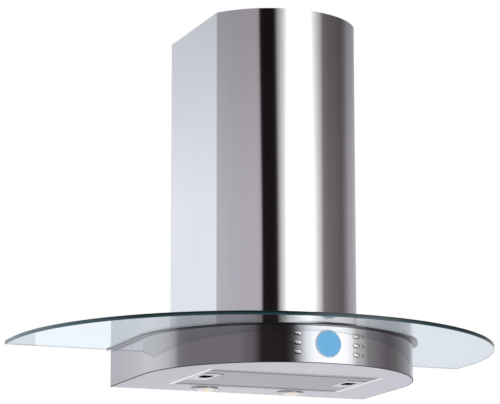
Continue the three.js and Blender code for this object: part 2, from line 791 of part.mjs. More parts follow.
function makeFilterFace() {
  const [low, high] = [faceBottom - overcut, faceTop + overcut];
  let face = block([-filterHalfWidth, filterHalfWidth], [filterStart, filterEnd], [faceBottom, faceTop]);
  for (const side of [-1, 1]) {
    const window = block(
      [handleInner - handleClearance, filterHalfWidth + overcut],
      [handleY - handleTravel - handleClearance, handleY + handleLength + handleClearance],
      [low, high],
    );
    face = face.subtract(side < 0 ? window.mirror([1, 0, 0]) : window);
  }
  const rowHalf = filterHalfWidth - perforationMargin;
  const pitch = (2 * rowHalf) / perforationCount;
  for (const y of [filterStart + perforationInset, filterEnd - perforationInset]) {
    for (let i = 0; i < perforationCount; i += 1) {
      const x = -rowHalf + (i + 0.5) * pitch;
      const across = [x - perforationWidth / 2, x + perforationWidth / 2];
      face = face.subtract(block(across, [y, y + perforationLength], [low, high]));
    }
  }
  return face;
}
filter.add(piece("filter_face", makeFilterFace(), aluminiumMesh));

// The frame holds the mesh in its middle and a finger well for each handle at its sides.
function makeFilterFrame() {
  const half = filterHalfWidth - gap;
  let frame = block([-half, half], [filterStart, filterEnd], [frameBottom, frameTop]).subtract(
    block(
      [-wellInner + filterWall, wellInner - filterWall],
      [filterStart + filterWall, filterEnd - filterWall],
      [frameBottom - overcut, frameTop + overcut],
    ),
  );
  for (const side of [-1, 1]) {
    const well = block(
      [wellInner + gap, half - filterWall / 2],
      [filterStart + filterWall, filterEnd - filterWall],
      [frameBottom - overcut, frameTop - filterFloor],
    );
    const latchHole = block(
      [latchX - latchWidth / 2 - gap, latchX + latchWidth / 2 + gap],
      [filterEnd - filterWall - overcut, filterEnd + overcut],
      [frameBottom - overcut, latchBottom + latchThickness + gap],
    );
    const cut = well.add(latchHole);
    frame = frame.subtract(side < 0 ? cut.mirror([1, 0, 0]) : cut);
  }
  for (const side of [-1, 1]) {
    const middle = (side * filterHookSpacing) / 2;
    const hook = block(
      [middle - filterHookWidth / 2, middle + filterHookWidth / 2],
      [-filterHookReach, filterStart + filterWall],
      [gap, gap + filterHookSheet],
    );
    frame = frame.add(hook);
  }
  return frame;
}
filter.add(piece("filter_frame", makeFilterFrame(), brushedSteel));

const coreHalf = wellInner - filterWall - gap;
const core = block(
  [-coreHalf, coreHalf],
  [filterStart + filterWall + gap, filterEnd - filterWall - gap],
  [frameBottom, frameTop - meshSink],
);
filter.add(piece("filter_mesh", core, aluminiumMesh));

// Handle plate with a D-shaped finger hole; its latch bar runs back through the frame's rear wall.
function makeHandle() {
  const middle = (handleInner + handleOuter) / 2;
  const handleEnd = handleY + handleLength;
  const gripTop = faceBottom + handleSheet;
  const grip = block([handleInner, handleOuter], [handleY, handleEnd], [faceBottom, gripTop]);
  const holeRadius = fingerHoleWidth / 2;
  const holeFront = handleY + fingerHoleStart;
  const holeArcY = holeFront + fingerHoleLength - holeRadius;
  const hole = new THREE.Shape([
    new THREE.Vector2(middle - holeRadius, holeFront),
    new THREE.Vector2(middle + holeRadius, holeFront),
    ...arcPoints(middle, holeArcY, holeRadius, 0, Math.PI, 10),
  ]);
  const riser = block(
    [latchX - latchWidth / 2, latchX + latchWidth / 2],
    [handleEnd - latchRiserLength, handleEnd],
    [faceBottom, latchBottom + latchThickness],
  );
  const bar = block(
    [latchX - latchWidth / 2, latchX + latchWidth / 2],
    [handleEnd - latchRiserLength, filterEnd + filterEndGap - 2 * gap],
    [latchBottom, latchBottom + latchThickness],
  );
  return grip.add(riser).add(bar).subtract(plate(hole, faceBottom - overcut, gripTop + gap));
}
filter.add(piece("filter_handle_left", makeHandle().mirror([1, 0, 0]), brushedSteel));
filter.add(piece("filter_handle_right", makeHandle(), brushedSteel));

// Polished rails along the opening's sides.
for (const [sideName, side] of [["left", -1], ["right", 1]]) {
  const outer = filterOpeningWidth / 2 - gap;
  const inner = filterOpeningWidth / 2 - railWidth;
  const front = -filterOpeningFront + reliefWidth + gap;
  const rear = -filterOpeningRear - reliefWidth - gap;
  const rail = block([inner, outer], [front, rear], [bodyBottom, panelTop])
    .add(block([outer - bodySheet, outer], [front, rear], [bodyBottom, bodyBottom + railHeight]));
  hood.add(piece(`filter_rail_${sideName}`, side < 0 ? rail.mirror([1, 0, 0]) : rail, chrome));
}

// ---- Lamps: each is made around its own axis, from the body's underside up ----

for (const [sideName, side] of [["left", -1], ["right", 1]]) {
  const lamp = new THREE.Group();
  lamp.position.set(side * lampOffset, -lampBack, bodyBottom);
  hood.add(lamp);

  const mouth = lampCanRadius - lampCanWall;
  const bezel = ring(lampBezelRadius, mouth, -gap - lampBezelDepth, -gap)
    .add(ring(lampCanRadius, mouth, -gap - lampBezelDepth, lampCanHeight));
  lamp.add(piece(`lamp_bezel_${sideName}`, bezel, chrome));

  // Lens: a flat back and a bulging front that hangs below the bezel.
  const rimLow = -gap - lampBezelDepth + lensRim / 2;
  const bulgeRadius = (lensRadius ** 2 + lensBulge ** 2) / (2 * lensBulge);
  const halfAngle = Math.asin(lensRadius / bulgeRadius);
  const profile = [];
  const bulgeSteps = 4;
  for (let i = 0; i <= bulgeSteps; i += 1) {
    const angle = (halfAngle * i) / bulgeSteps;
    const x = bulgeRadius * Math.sin(angle);
    profile.push(new THREE.Vector2(x, rimLow - lensBulge + bulgeRadius * (1 - Math.cos(angle))));
  }
  profile.push(new THREE.Vector2(lensRadius, rimLow + lensRim));
  profile.push(new THREE.Vector2(0, rimLow + lensRim));
  const lensGeometry = new THREE.LatheGeometry(profile, 24);
  lensGeometry.rotateX(Math.PI / 2);
  lamp.add(piece(`lamp_lens_${sideName}`, solid(lensGeometry), frostedGlass));

  const bulb = rod(bulbRadius, lampBulbLift, lampBulbLift + bulbLength, 16);
  lamp.add(piece(`lamp_bulb_${sideName}`, bulb, bulbGlass));

  const holderLow = lampBulbLift + bulbLength + gap;
  const holder = rod(mouth - gap, holderLow, holderLow + holderHeight, 24);
  lamp.add(piece(`lamp_holder_${sideName}`, holder, whitePlastic));
}

// ---- Controls ----

const displayHousing = displayRadius + displayBezelWidth;
const displayFront = -bodyDepth - displayProud;
const bezelShape = rodAlongY(displayHousing, displayFront, displayFront + displayDepth)
  .subtract(rodAlongY(displayRadius + gap, displayFront - overcut, displayFront + displayDepth + overcut));
hood.add(piece("display_bezel", bezelShape.translate([0, 0, controlHeight]), whitePlastic));

const lensFront = displayFront + displayLensSink;
const lensShape = rodAlongY(displayRadius, lensFront, displayFront + displayDepth - bodySheet);
hood.add(piece("display_lens", lensShape.translate([0, 0, controlHeight]), displayBlue));

const boardFront = -bodyDepth + boardDistance;
const moduleHalf = displayRadius - displayModuleInset;
const displayModule = block(
  [-moduleHalf, moduleHalf],
  [displayFront + displayDepth + gap, boardFront - gap],
  [controlHeight - moduleHalf, controlHeight + moduleHalf],
);
hood.add(piece("display_module", displayModule, blackPlastic));

// Each button: a pill-shaped cap through the fascia, a collar that keeps it in, and a plunger.
function makeButton() {
  const capEnd = buttonDepth - plungerLength;
  const cap = pillAlongY(buttonWidth, buttonHeight, -buttonProud, capEnd);
  const keeperStart = bodySheet + keeperDistance;
  const [keeperWidth, keeperHeight] = [buttonWidth + keeperMargin, buttonHeight + keeperMargin];
  const keeper = pillAlongY(keeperWidth, keeperHeight, keeperStart, keeperStart + keeperThickness);
  const plunger = rodAlongY(plungerRadius, capEnd - gap, buttonDepth, 10);
  return cap.add(keeper).add(plunger);
}
for (const [sideName, side] of [["left", -1], ["right", 1]]) {
  for (const [rowName, row] of [["top", 1], ["middle", 0], ["bottom", -1]]) {
    hood.add(piece(`button_${sideName}_${rowName}`, atButton(makeButton(), side, row), chrome));
  }
}

// Circuit board with one small switch behind each button.
function makeBoard() {
  const low = controlHeight - boardHeight / 2;
  let board = block(
    [-boardWidth / 2, boardWidth / 2],
    [boardFront, boardFront + boardThickness],
    [low, low + boardHeight],
  );
  const innerX = buttonOffset - buttonDepth * Math.sin(buttonAngle);
  const innerY = fasciaY(buttonOffset) + buttonDepth * Math.cos(buttonAngle);
  for (const side of [-1, 1]) {
    for (const row of [-1, 0, 1]) {
      const z = controlHeight + row * buttonPitch;
      const x = side * innerX;
      const limits = [innerY + buttonTravel + 2 * gap, boardFront + gap];
      const half = switchWidth / 2;
      board = board.add(block([x - half, x + half], limits, [z - half, z + half]));
    }
  }
  return board;
}
hood.add(piece("control_board", makeBoard(), circuitGreen));

const controlBoxFront = -bodyDepth + controlBoxDistance;
const controlBox = block(
  [-controlBoxWidth / 2, controlBoxWidth / 2],
  [controlBoxFront, controlBoxFront + controlBoxDepth],
  [bodyTop - controlBoxHeight, bodyTop],
);
hood.add(piece("control_box", controlBox, greyPlastic));

const transformerX = -bodyWidth / 2 + transformerInset;
const transformer = block(
  [transformerX, transformerX + transformerWidth],
  [-transformerFront, transformerDepth - transformerFront],
  [bodyTop - transformerHeight, bodyTop],
);
hood.add(piece("lamp_transformer", transformer, blackPlastic));

export default hood;
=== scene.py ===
import math

import bmesh
import bpy
from mathutils import Matrix, Vector


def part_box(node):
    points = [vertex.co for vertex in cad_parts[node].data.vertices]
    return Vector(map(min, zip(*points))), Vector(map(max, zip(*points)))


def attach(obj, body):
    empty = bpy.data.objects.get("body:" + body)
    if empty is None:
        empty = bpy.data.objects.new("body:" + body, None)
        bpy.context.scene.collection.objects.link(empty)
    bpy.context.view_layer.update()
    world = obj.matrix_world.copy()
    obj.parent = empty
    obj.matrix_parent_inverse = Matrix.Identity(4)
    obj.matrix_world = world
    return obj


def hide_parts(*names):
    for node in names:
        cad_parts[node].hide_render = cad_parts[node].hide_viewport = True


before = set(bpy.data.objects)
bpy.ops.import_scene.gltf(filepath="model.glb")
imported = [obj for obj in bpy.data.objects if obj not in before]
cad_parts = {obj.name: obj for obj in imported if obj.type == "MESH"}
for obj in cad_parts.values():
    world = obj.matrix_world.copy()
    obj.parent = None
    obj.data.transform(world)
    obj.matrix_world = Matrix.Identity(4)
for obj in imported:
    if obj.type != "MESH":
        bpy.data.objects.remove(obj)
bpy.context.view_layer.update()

bpy.ops.object.select_all(action="DESELECT")

# ---- Camera ----
# A long lens to the left of the hood and below it, looking slightly up, as a cook bending down sees it.

camera_place = Vector((-1.694, -4.3193, -0.6341))
camera_turn = 0.3784
camera_rise = 0.2047
camera_roll = 0.0013
bpy.ops.object.camera_add(location=camera_place)
camera = bpy.context.object
camera.data.sensor_width = 36
camera.data.lens = 181.44
camera.data.clip_end = 200
ahead = Vector((
    math.sin(camera_turn) * math.cos(camera_rise),
    math.cos(camera_turn) * math.cos(camera_rise),
    math.sin(camera_rise),
))
camera.rotation_mode = "QUATERNION"
aim = ahead.to_track_quat("-Z", "Y")
camera.rotation_quaternion = aim @ Matrix.Rotation(-camera_roll, 4, "Z").to_quaternion()
bpy.context.scene.camera = camera

# ---- Studio ----
# A white room: light walls all round, a wide bright window to the front right, and a dark doorway
# beside it. The steel shows them as upright bands.


def fill(tree, made, inputs):
    """Gives a shading node's inputs their values, or links them to other nodes' outputs."""
    for socket, value in inputs.items():
        if isinstance(value, bpy.types.NodeSocket):
            tree.links.new(value, made.inputs[socket])
        else:
            made.inputs[socket].default_value = value


def add_node(tree, kind, inputs, output=None, **settings):
    """Adds a shading node and gives back the output named, or the first one that is in use."""
    made = tree.nodes.new("ShaderNode" + kind)
    for setting, value in settings.items():
        setattr(made, setting, value)
    fill(tree, made, inputs)
    return made.outputs[output] if output else next((out for out in made.outputs if out.enabled), None)


def own_place(tree):
    """Places in the piece's own frame, so that a pattern stays with it."""
    return add_node(tree, "TexCoord", {}, "Object")


def scaled(tree, value, start, end, low=0, high=1):
    """A value between start and end, mapped to between low and high and held there."""
    ends = {"From Min": start, "From Max": end, "To Min": low, "To Max": high}
    return add_node(tree, "MapRange", {"Value": value, **ends})


def mixed(tree, share, tone, other, way="MIX"):
    """A colour that goes over into another one, or is multiplied by it, by a share."""
    inputs = {"Factor": share, "A": tone, "B": other}
    return add_node(tree, "Mix", inputs, data_type="RGBA", blend_type=way)


def ramp(tree, share, tones):
    """A colour that runs through tones, each at its share from 0 to 1."""
    colour = add_node(tree, "ValToRGB", {"Fac": share})
    stops = colour.node.color_ramp.elements
    stops.remove(stops[-1])
    for number, (position, tone) in enumerate(sorted(tones)):
        stop = stops.new(position) if number else stops[0]
        stop.position = position
        stop.color = (*tone, 1)
    return colour


def by_bearing(tones):
    """Turns bearings in degrees into shares of a whole turn."""
    return [((degrees + 180) / 360, tone) for degrees, tone in tones]


def bearing_of(tree, place):
    """The parts of a place or direction, its bearing, and that bearing as a share of a whole turn."""
    parts = add_node(tree, "SeparateXYZ", {0: place}).node.outputs
    forward = add_node(tree, "Math", {0: parts["Y"], 1: -1}, operation="MULTIPLY")
    bearing = add_node(tree, "Math", {0: parts["X"], 1: forward}, operation="ARCTAN2")
    return parts, bearing, scaled(tree, bearing, -math.pi, math.pi)


def new_material(name, values):
    """A material with the values that are the same all over, its nodes and its shader."""
    material = bpy.data.materials.new(name)
    material.use_nodes = True
    look = material.node_tree.nodes["Principled BSDF"]
    fill(material.node_tree, look, values)
    return material, material.node_tree, look


scene = bpy.context.scene
scene.view_settings.view_transform = "Standard"
scene.world = bpy.data.worlds.new("studio")
scene.world.use_nodes = True
sky = scene.world.node_tree
sky.nodes.clear()
parts, bearing, turn_share = bearing_of(sky, add_node(sky, "TexCoord", {}, "Generated"))

# Bearing from straight ahead of the hood, in degrees to its right, and the wall's light there.
wall_light = [
    (-180, (1.10, 1.13, 1.22)),
    (-158, (1.10, 1.13, 1.22)),
    (-114, (1.18, 1.21, 1.28)),
    (-104, (0.71, 0.70, 0.75)),
    (-90, (0.70, 0.68, 0.74)),
    (-60, (0.66, 0.63, 0.69)),
    (-36, (0.68, 0.64, 0.67)),
    (-31.5, (0.60, 0.56, 0.59)),
    (-29.5, (0.014, 0.010, 0.012)),
    (-13, (0.014, 0.010, 0.012)),
    (-10.5, (0.05, 0.045, 0.045)),
    (-8, (0.55, 0.53, 0.53)),
    (-1, (1.25, 1.25, 1.25)),
    (5, (2.3, 2.3, 2.3)),
    (10, (2.7, 2.7, 2.7)),
    (32, (2.7, 2.7, 2.7)),
    (38, (1.8, 1.8, 1.78)),
    (44, (1.15, 1.13, 1.10)),
    (50.5, (0.72, 0.68, 0.68)),
    (53.5, (0.30, 0.28, 0.285)),
    (62, (0.23, 0.21, 0.22)),
    (88, (0.16, 0.145, 0.155)),
    (94, (0.22, 0.20, 0.21)),
    (108, (0.46, 0.44, 0.48)),
    (126, (0.54, 0.52, 0.56)),
    (146, (0.78, 0.80, 0.85)),
    (155, (0.86, 0.89, 0.95)),
    (162, (1.00, 1.05, 1.10)),
    (180, (1.10, 1.13, 1.22)),
]
# The doorway leans left with height and the window's far edge leans right. The share of the height
# is the upward part of the direction looked in.
lean_low, lean_high, lean_most = 0.190, 0.280, 3.4 / 360
lean_left, lean_right, right_part = math.radians(-20), math.radians(38), -0.25
lean = scaled(sky, parts["Z"], lean_low, lean_high, 0, lean_most)
lean_side = scaled(sky, bearing, lean_left, lean_right, 1, right_part)
leaning = add_node(sky, "Math", {0: lean, 1: lean_side, 2: turn_share}, operation="MULTIPLY_ADD")
walls = ramp(sky, leaning, by_bearing(wall_light))

# Higher up the walls are dimmer, and above them is a plain bright ceiling.
dim_low, dim_high, dim_least = 0.200, 0.285, 0.66
walls_end, ceiling_start = 0.5, 0.85
dimming = scaled(sky, parts["Z"], dim_low, dim_high, 1, dim_least)
dimmed = add_node(sky, "VectorMath", {0: walls, "Scale": dimming}, operation="SCALE")
ceiling_share = scaled(sky, parts["Z"], walls_end, ceiling_start)
with_ceiling = mixed(sky, ceiling_share, dimmed, (0.95, 0.96, 1.0, 1))
seen_straight = add_node(sky, "LightPath", {}, "Is Camera Ray")
backdrop = mixed(sky, seen_straight, with_ceiling, (1, 1, 1, 1))
shine = add_node(sky, "Background", {"Color": backdrop})
add_node(sky, "OutputWorld", {"Surface": shine})

floor_radius, floor_level = 36, -9
bpy.ops.mesh.primitive_circle_add(
    vertices=64, radius=floor_radius, fill_type="NGON", location=(0, 0, floor_level)
)
floor = bpy.context.object
floor.name = "floor"
paper, _, _ = new_material("pale_floor", {"Base Color": (0.86, 0.86, 0.86, 1), "Roughness": 0.9})
floor.data.materials.append(paper)

# A low curved screen of grey card stands close round the front, lit by bearing as the walls are.
# Only the steel and the glass show it.
screen_radius = 0.55
screen_centre = (0, -0.17)
screen_low = -0.15
screen_high = 0.093
screen_tones = [
    (-141, (0.64, 0.64, 0.70)),
    (-133, (0.78, 0.79, 0.83)),
    (-120, (0.85, 0.86, 0.89)),
    (-108, (0.82, 0.82, 0.86)),
    (-97, (0.70, 0.69, 0.73)),
    (-92, (0.56, 0.55, 0.58)),
    (-87, (0.28, 0.27, 0.29)),
    (-80, (0.235, 0.22, 0.24)),
    (-44, (0.235, 0.22, 0.24)),
    (-34, (0.155, 0.14, 0.155)),
    (-29.5, (0.030, 0.023, 0.026)),
    (-14, (0.022, 0.017, 0.019)),
    (-9.5, (0.085, 0.08, 0.085)),
    (-6, (0.48, 0.49, 0.51)),
    (-2, (1.05, 1.08, 1.14)),
    (3, (1.45, 1.48, 1.54)),
    (22, (1.65, 1.68, 1.70)),
    (29, (1.30, 1.33, 1.33)),
    (33.5, (0.72, 0.70, 0.70)),
    (39.4, (0.54, 0.52, 0.53)),
    (43, (0.31, 0.295, 0.31)),
    (58.5, (0.185, 0.17, 0.185)),
    (65, (0.160, 0.145, 0.158)),
    (74, (0.20, 0.19, 0.20)),
    (84, (0.29, 0.285, 0.30)),
    (97, (0.43, 0.43, 0.46)),
]
card = bpy.data.materials.new("grey_card")
card.use_nodes = True
card_tree = card.node_tree
card_tree.nodes.clear()
card_place = own_place(card_tree)
to_centre = {"Vector": card_place, "Location": (-screen_centre[0], -screen_centre[1], 0)}
_, _, card_share = bearing_of(card_tree, add_node(card_tree, "Mapping", to_centre))
card_tone = ramp(card_tree, card_share, by_bearing(screen_tones))
add_node(card_tree, "OutputMaterial", {"Surface": add_node(card_tree, "Emission", {"Color": card_tone})})
for name, first, last in (("grey_screen", -132, 104), ("side_screen", -146, -132)):
    bpy.ops.mesh.primitive_cylinder_add(
        vertices=180, radius=screen_radius, depth=screen_high - screen_low, end_fill_type="NOTHING",
        location=(*screen_centre, (screen_low + screen_high) / 2),
    )
    screen = bpy.context.object
    screen.name = name
    bpy.ops.object.transform_apply(location=True)
    bpy.ops.object.mode_set(mode="EDIT")
    bpy.ops.mesh.select_all(action="DESELECT")
    screen_mesh = bmesh.from_edit_mesh(screen.data)
    for face in screen_mesh.faces:
        at = face.calc_center_median()
        turn = math.degrees(math.atan2(at.x - screen_centre[0], screen_centre[1] - at.y))
        face.select_set(not first < turn < last)
    bmesh.update_edit_mesh(screen.data)
    bpy.ops.mesh.delete(type="FACE")
    bpy.ops.object.mode_set(mode="OBJECT")
    screen.data.materials.append(card)
    screen.visible_camera = False
    screen.visible_transmission = name == "grey_screen"
    screen.visible_diffuse = False
    screen.visible_shadow = False

# ---- Lower chimney cover ----
# One sheet of satin stainless steel, bowed at the front, folded at two upright creases and returned
# in narrow lips at the back. It stands on the glass and hides the motor box.

chimney_half = 0.135
chimney_bow = 0.160
chimney_depth = 0.310
chimney_sheet = 0.0012
chimney_lip = 0.016
chimney_fold = 0.0032
inside_solid = 0.00003
sharp_angle = math.radians(35)
smooth_angle = math.radians(40)
hair = 0.00001


def edit_mesh():
    bpy.ops.object.mode_set(mode="EDIT")


def end_edit():
    bpy.ops.object.mode_set(mode="OBJECT")


def select_whole():
    bpy.ops.mesh.select_all(action="SELECT")


def choose(test, kind="faces"):
    """Selects the faces, edges or vertices of the mesh in edit mode for which test holds."""
    edited = bmesh.from_edit_mesh(bpy.context.object.data)
    mode = {"faces": "FACE", "edges": "EDGE", "verts": "VERT"}[kind]
    bpy.ops.mesh.select_mode(type=mode)
    bpy.ops.mesh.select_all(action="DESELECT")
    for item in getattr(edited, kind):
        item.select_set(test(item))
    edited.select_flush_mode()
    bmesh.update_edit_mesh(bpy.context.object.data)


def middle(item):
    """The middle of an edge or of a face."""
    return sum((v.co for v in item.verts), Vector()) / len(item.verts)


def take(obj):
    """Makes a piece the only one selected."""
    bpy.ops.object.select_all(action="DESELECT")
    obj.select_set(True)
    bpy.context.view_layer.objects.active = obj


def settle(obj):
    """Puts a piece's place into its mesh, so that its object sits at the origin."""
    take(obj)
    bpy.ops.object.transform_apply(location=True, rotation=True, scale=True)


def modify(obj, kind, **settings):
    """Adds a modifier to a piece and applies it."""
    added = obj.modifiers.new(kind.lower(), kind)
    for setting, value in settings.items():
        setattr(added, setting, value)
    take(obj)
    bpy.ops.object.modifier_apply(modifier=added.name)


def round_edges(obj, width=0.0003, segments=2):
    """Rolls the sharp edges of a piece over by a small radius and keeps its broad faces true."""
    modify(obj, "BEVEL", width=width, segments=segments, limit_method="ANGLE", angle_limit=sharp_angle)
    bpy.ops.object.shade_smooth_by_angle(angle=smooth_angle)
    modify(obj, "WEIGHTED_NORMAL", keep_sharp=True, weight=100)


def wear_material(obj, material):
    """Gives a piece or a CAD node its finish."""
    if not obj.material_slots:
        obj.data.materials.append(material)
    for slot in obj.material_slots:
        slot.material = material


def coat_nodes(material, *names):
    """Gives CAD nodes that stay as they are their finish."""
    for name in names:
        wear_material(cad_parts[name], material)


def fit(obj, material, body, node=None):
    """Coats a piece, fixes it to its body and hides the CAD solid it stands for."""
    if material:
        wear_material(obj, material)
    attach(obj, body)
    if node:
        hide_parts(node)


def noise(tree, place, fineness, detail=2):
    """Soft cloudy noise."""
    return add_node(tree, "TexNoise", {"Vector": place, "Scale": fineness, "Detail": detail})


def bumps(tree, height, strength, distance):
    """A surface raised and sunk by a height."""
    return add_node(tree, "Bump", {"Height": height, "Strength": strength, "Distance": distance})


def paler(tone, share):
    """A tone made darker or lighter by a share, and white at most."""
    return tuple(min(part * share, 1) for part in tone)


def brushed_steel(name, tint, grain_axis, roughness=0.075, grain=0.06, fine=900):
    """Stainless steel with fine straight scratches along one axis and a faint uneven sheen."""
    steel, tree, look = new_material(name, {"Metallic": 1})
    place = own_place(tree)
    along = [5 if axis == grain_axis else fine for axis in "XYZ"]
    stretch = add_node(tree, "Mapping", {"Vector": place, "Scale": along})
    scratches = noise(tree, stretch, 1, 3)
    cloud = noise(tree, place, 5)
    sheen = scaled(tree, scratches, 0, 1, roughness * 0.75, roughness * 1.25)
    both = add_node(tree, "Mix", {"Factor": 0.4, "A": scratches, "B": cloud})
    shade = ramp(tree, both, [(0.3, paler(tint, 0.93)), (0.7, tint)])
    skin = bumps(tree, scratches, grain, 0.00005)
    fill(tree, look, {"Roughness": sheen, "Base Color": shade, "Normal": skin})
    return steel


def cut_off(place, outward):
    """Takes away what lies past a plane and closes the cut."""
    select_whole()
    bpy.ops.mesh.bisect(plane_co=place, plane_no=outward, use_fill=True, clear_outer=True)


def split_at(place, across):
    """Adds a line of edges where a plane meets the whole mesh."""
    select_whole()
    bpy.ops.mesh.bisect(plane_co=place, plane_no=across)


def turn_outward():
    """Turns the faces of the whole mesh outward."""
    select_whole()
    bpy.ops.mesh.normals_make_consistent(inside=False)


def bowed_sleeve(name, half, bow, depth, back, low, high, corner):
    """A closed block: front part of a round bar, cut flat at the sides and drawn back to the wall."""
    centre = bow - depth
    crease = centre - math.sqrt(bow**2 - half**2)
    bpy.ops.object.select_all(action="DESELECT")
    bpy.ops.mesh.primitive_cylinder_add(
        vertices=384, radius=bow, depth=high - low, location=(0, centre, (low + high) / 2)
    )
    block = bpy.context.object
    block.name = name
    settle(block)
    edit_mesh()
    for side in (-1, 1):
        cut_off((side * half, 0, 0), (side, 0, 0))
    cut_off((0, crease, 0), (0, 1, 0))
    choose(lambda face: face.normal.y > 0.99)
    bpy.ops.mesh.extrude_region_move(TRANSFORM_OT_translate={"value": (0, -crease - back, 0)})
    select_whole()
    bpy.ops.mesh.remove_doubles(threshold=hair)
    choose(
        lambda edge: abs(edge.verts[0].co.z - edge.verts[1].co.z) > 0.01
        and abs(abs(middle(edge).x) - half) < 0.0002
        and abs(middle(edge).y - crease) < 0.0002,
        "edges",
    )
    bpy.ops.mesh.bevel(offset=corner, segments=8)
    turn_outward()
    end_edit()
    return block


def open_sleeve(sleeve, half, lip, sheet):
    """Takes the ends and the middle of the back out of a bowed block and leaves its sheet."""
    edit_mesh()
    choose(lambda face: abs(face.normal.z) > 0.9)
    bpy.ops.mesh.delete(type="ONLY_FACE")
    for side in (-1, 1):
        choose(lambda face: face.normal.y > 0.9)
        bpy.ops.mesh.bisect(plane_co=(side * (half - lip), 0, 0), plane_no=(1, 0, 0))
    choose(lambda face: face.normal.y > 0.9 and abs(middle(face).x) < half - lip)
    bpy.ops.mesh.delete(type="FACE")
    end_edit()
    modify(sleeve, "SOLIDIFY", thickness=sheet, offset=-1, use_even_offset=True)


satin_tint = (0.66, 0.655, 0.67)
chimney_low, chimney_high = (corner.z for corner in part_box("lower_chimney"))
lower_chimney = bowed_sleeve(
    "lower_chimney_cover", chimney_half, chimney_bow, chimney_depth, inside_solid,
    chimney_low, chimney_high - inside_solid, chimney_fold,
)
open_sleeve(lower_chimney, chimney_half, chimney_lip, chimney_sheet)
round_edges(lower_chimney)
upright_satin = brushed_steel("satin_steel_upright", satin_tint, "Z")
fit(lower_chimney, upright_satin, "hood", "lower_chimney")

# ---- Glass canopy ----
# Half-round pane of 7 mm float glass with polished arrises. Its edge looks dark green because the
# eye looks through the whole pane there; on the edge faces this look is painted in an opaque colour.
# A square opening lets the air through to the motor box.

pane_radius = 0.450
pane_depth = 0.500
air_margin = 0.006
screw_hole = 0.0028
tip_start = 0.33
edge_band = 0.002
past = 0.01
just_past = 0.005


def bowed_plate(name, radius, depth, back, low, high):
    """A flat plate: a round disc cut through its middle and drawn straight back to the wall."""
    centre = radius - depth
    bpy.ops.object.select_all(action="DESELECT")
    bpy.ops.mesh.primitive_cylinder_add(
        vertices=512, radius=radius, depth=high - low, location=(0, centre, (low + high) / 2)
    )
    flat = bpy.context.object
    flat.name = name
    settle(flat)
    edit_mesh()
    cut_off((0, centre, 0), (0, 1, 0))
    choose(lambda face: face.normal.y > 0.99)
    bpy.ops.mesh.extrude_region_move(TRANSFORM_OT_translate={"value": (0, -centre - back, 0)})
    select_whole()
    bpy.ops.mesh.remove_doubles(threshold=hair)
    turn_outward()
    end_edit()
    return flat


def cut(obj, cutter, operation="DIFFERENCE"):
    """Takes the cutter's shape out of a piece, or adds it, and throws the cutter away."""
    modify(obj, "BOOLEAN", operation=operation, solver="EXACT", object=cutter)
    bpy.data.objects.remove(cutter)


def block_between(low, high, name="block"):
    """A block between two corners, from which a piece or a cutter is shaped."""
    low, high = Vector(low), Vector(high)
    bpy.ops.object.select_all(action="DESELECT")
    bpy.ops.mesh.primitive_cube_add(size=1, location=(low + high) / 2)
    made = bpy.context.object
    made.name = name
    made.scale = high - low
    settle(made)
    return made


def bar_along(axis, radius, start, end, at, vertices=48, name="bar"):
    """A round bar along X, Y or Z from start to end; at holds its other two coordinates."""
    half = (start + end) / 2
    turn = {"X": (0, math.pi / 2, 0), "Y": (math.pi / 2, 0, 0), "Z": (0, 0, 0)}[axis]
    place = {"X": (half, *at), "Y": (at[0], half, at[1]), "Z": (*at, half)}[axis]
    bpy.ops.object.select_all(action="DESELECT")
    bpy.ops.mesh.primitive_cylinder_add(
        vertices=vertices, radius=radius, depth=end - start, location=place, rotation=turn
    )
    made = bpy.context.object
    made.name = name
    settle(made)
    return made


box_low, box_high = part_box("motor_box")
box_flange = 0.011
air_low = Vector((box_low.x + box_flange + air_margin, box_low.y + box_flange + air_margin, 0))
air_high = Vector((box_high.x - box_flange - air_margin, box_high.y - air_margin, 0))
screw_places = []
for number in (1, 2, 3, 4):
    screw_low, screw_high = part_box(f"clamp_screw_{number}")
    screw_places.append((screw_low + screw_high) / 2)


def open_for_air(obj, low, high):
    """Cuts the air opening and the four screw holes through a flat plate."""
    cut(obj, block_between((air_low.x, air_low.y, low - past), (air_high.x, air_high.y, high + past)))
    for place in screw_places:
        cut(obj, bar_along("Z", screw_hole, low - past, high + past, (place.x, place.y), 24))


pane_low, pane_high = (corner.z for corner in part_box("glass_canopy"))
pane = bowed_plate("glass_pane", pane_radius, pane_depth, 0, pane_low, pane_high)
open_for_air(pane, pane_low, pane_high)
round_edges(pane, 0.0008, 3)

clear = {"Base Color": (1, 1, 1, 1), "Transmission Weight": 1, "IOR": 1.52}
float_glass, glass_tree, glass_look = new_material("float_glass", clear)
smears = noise(glass_tree, own_place(glass_tree), 6, 3)
fill(glass_tree, glass_look, {"Roughness": scaled(glass_tree, smears, 0, 1, 0, 0.015)})
green = add_node(glass_tree, "VolumeAbsorption", {"Color": (0.18, 0.40, 0.45, 1), "Density": 24})
fill(glass_tree, glass_tree.nodes["Material Output"], {"Volume": green})
wear_material(pane, float_glass)
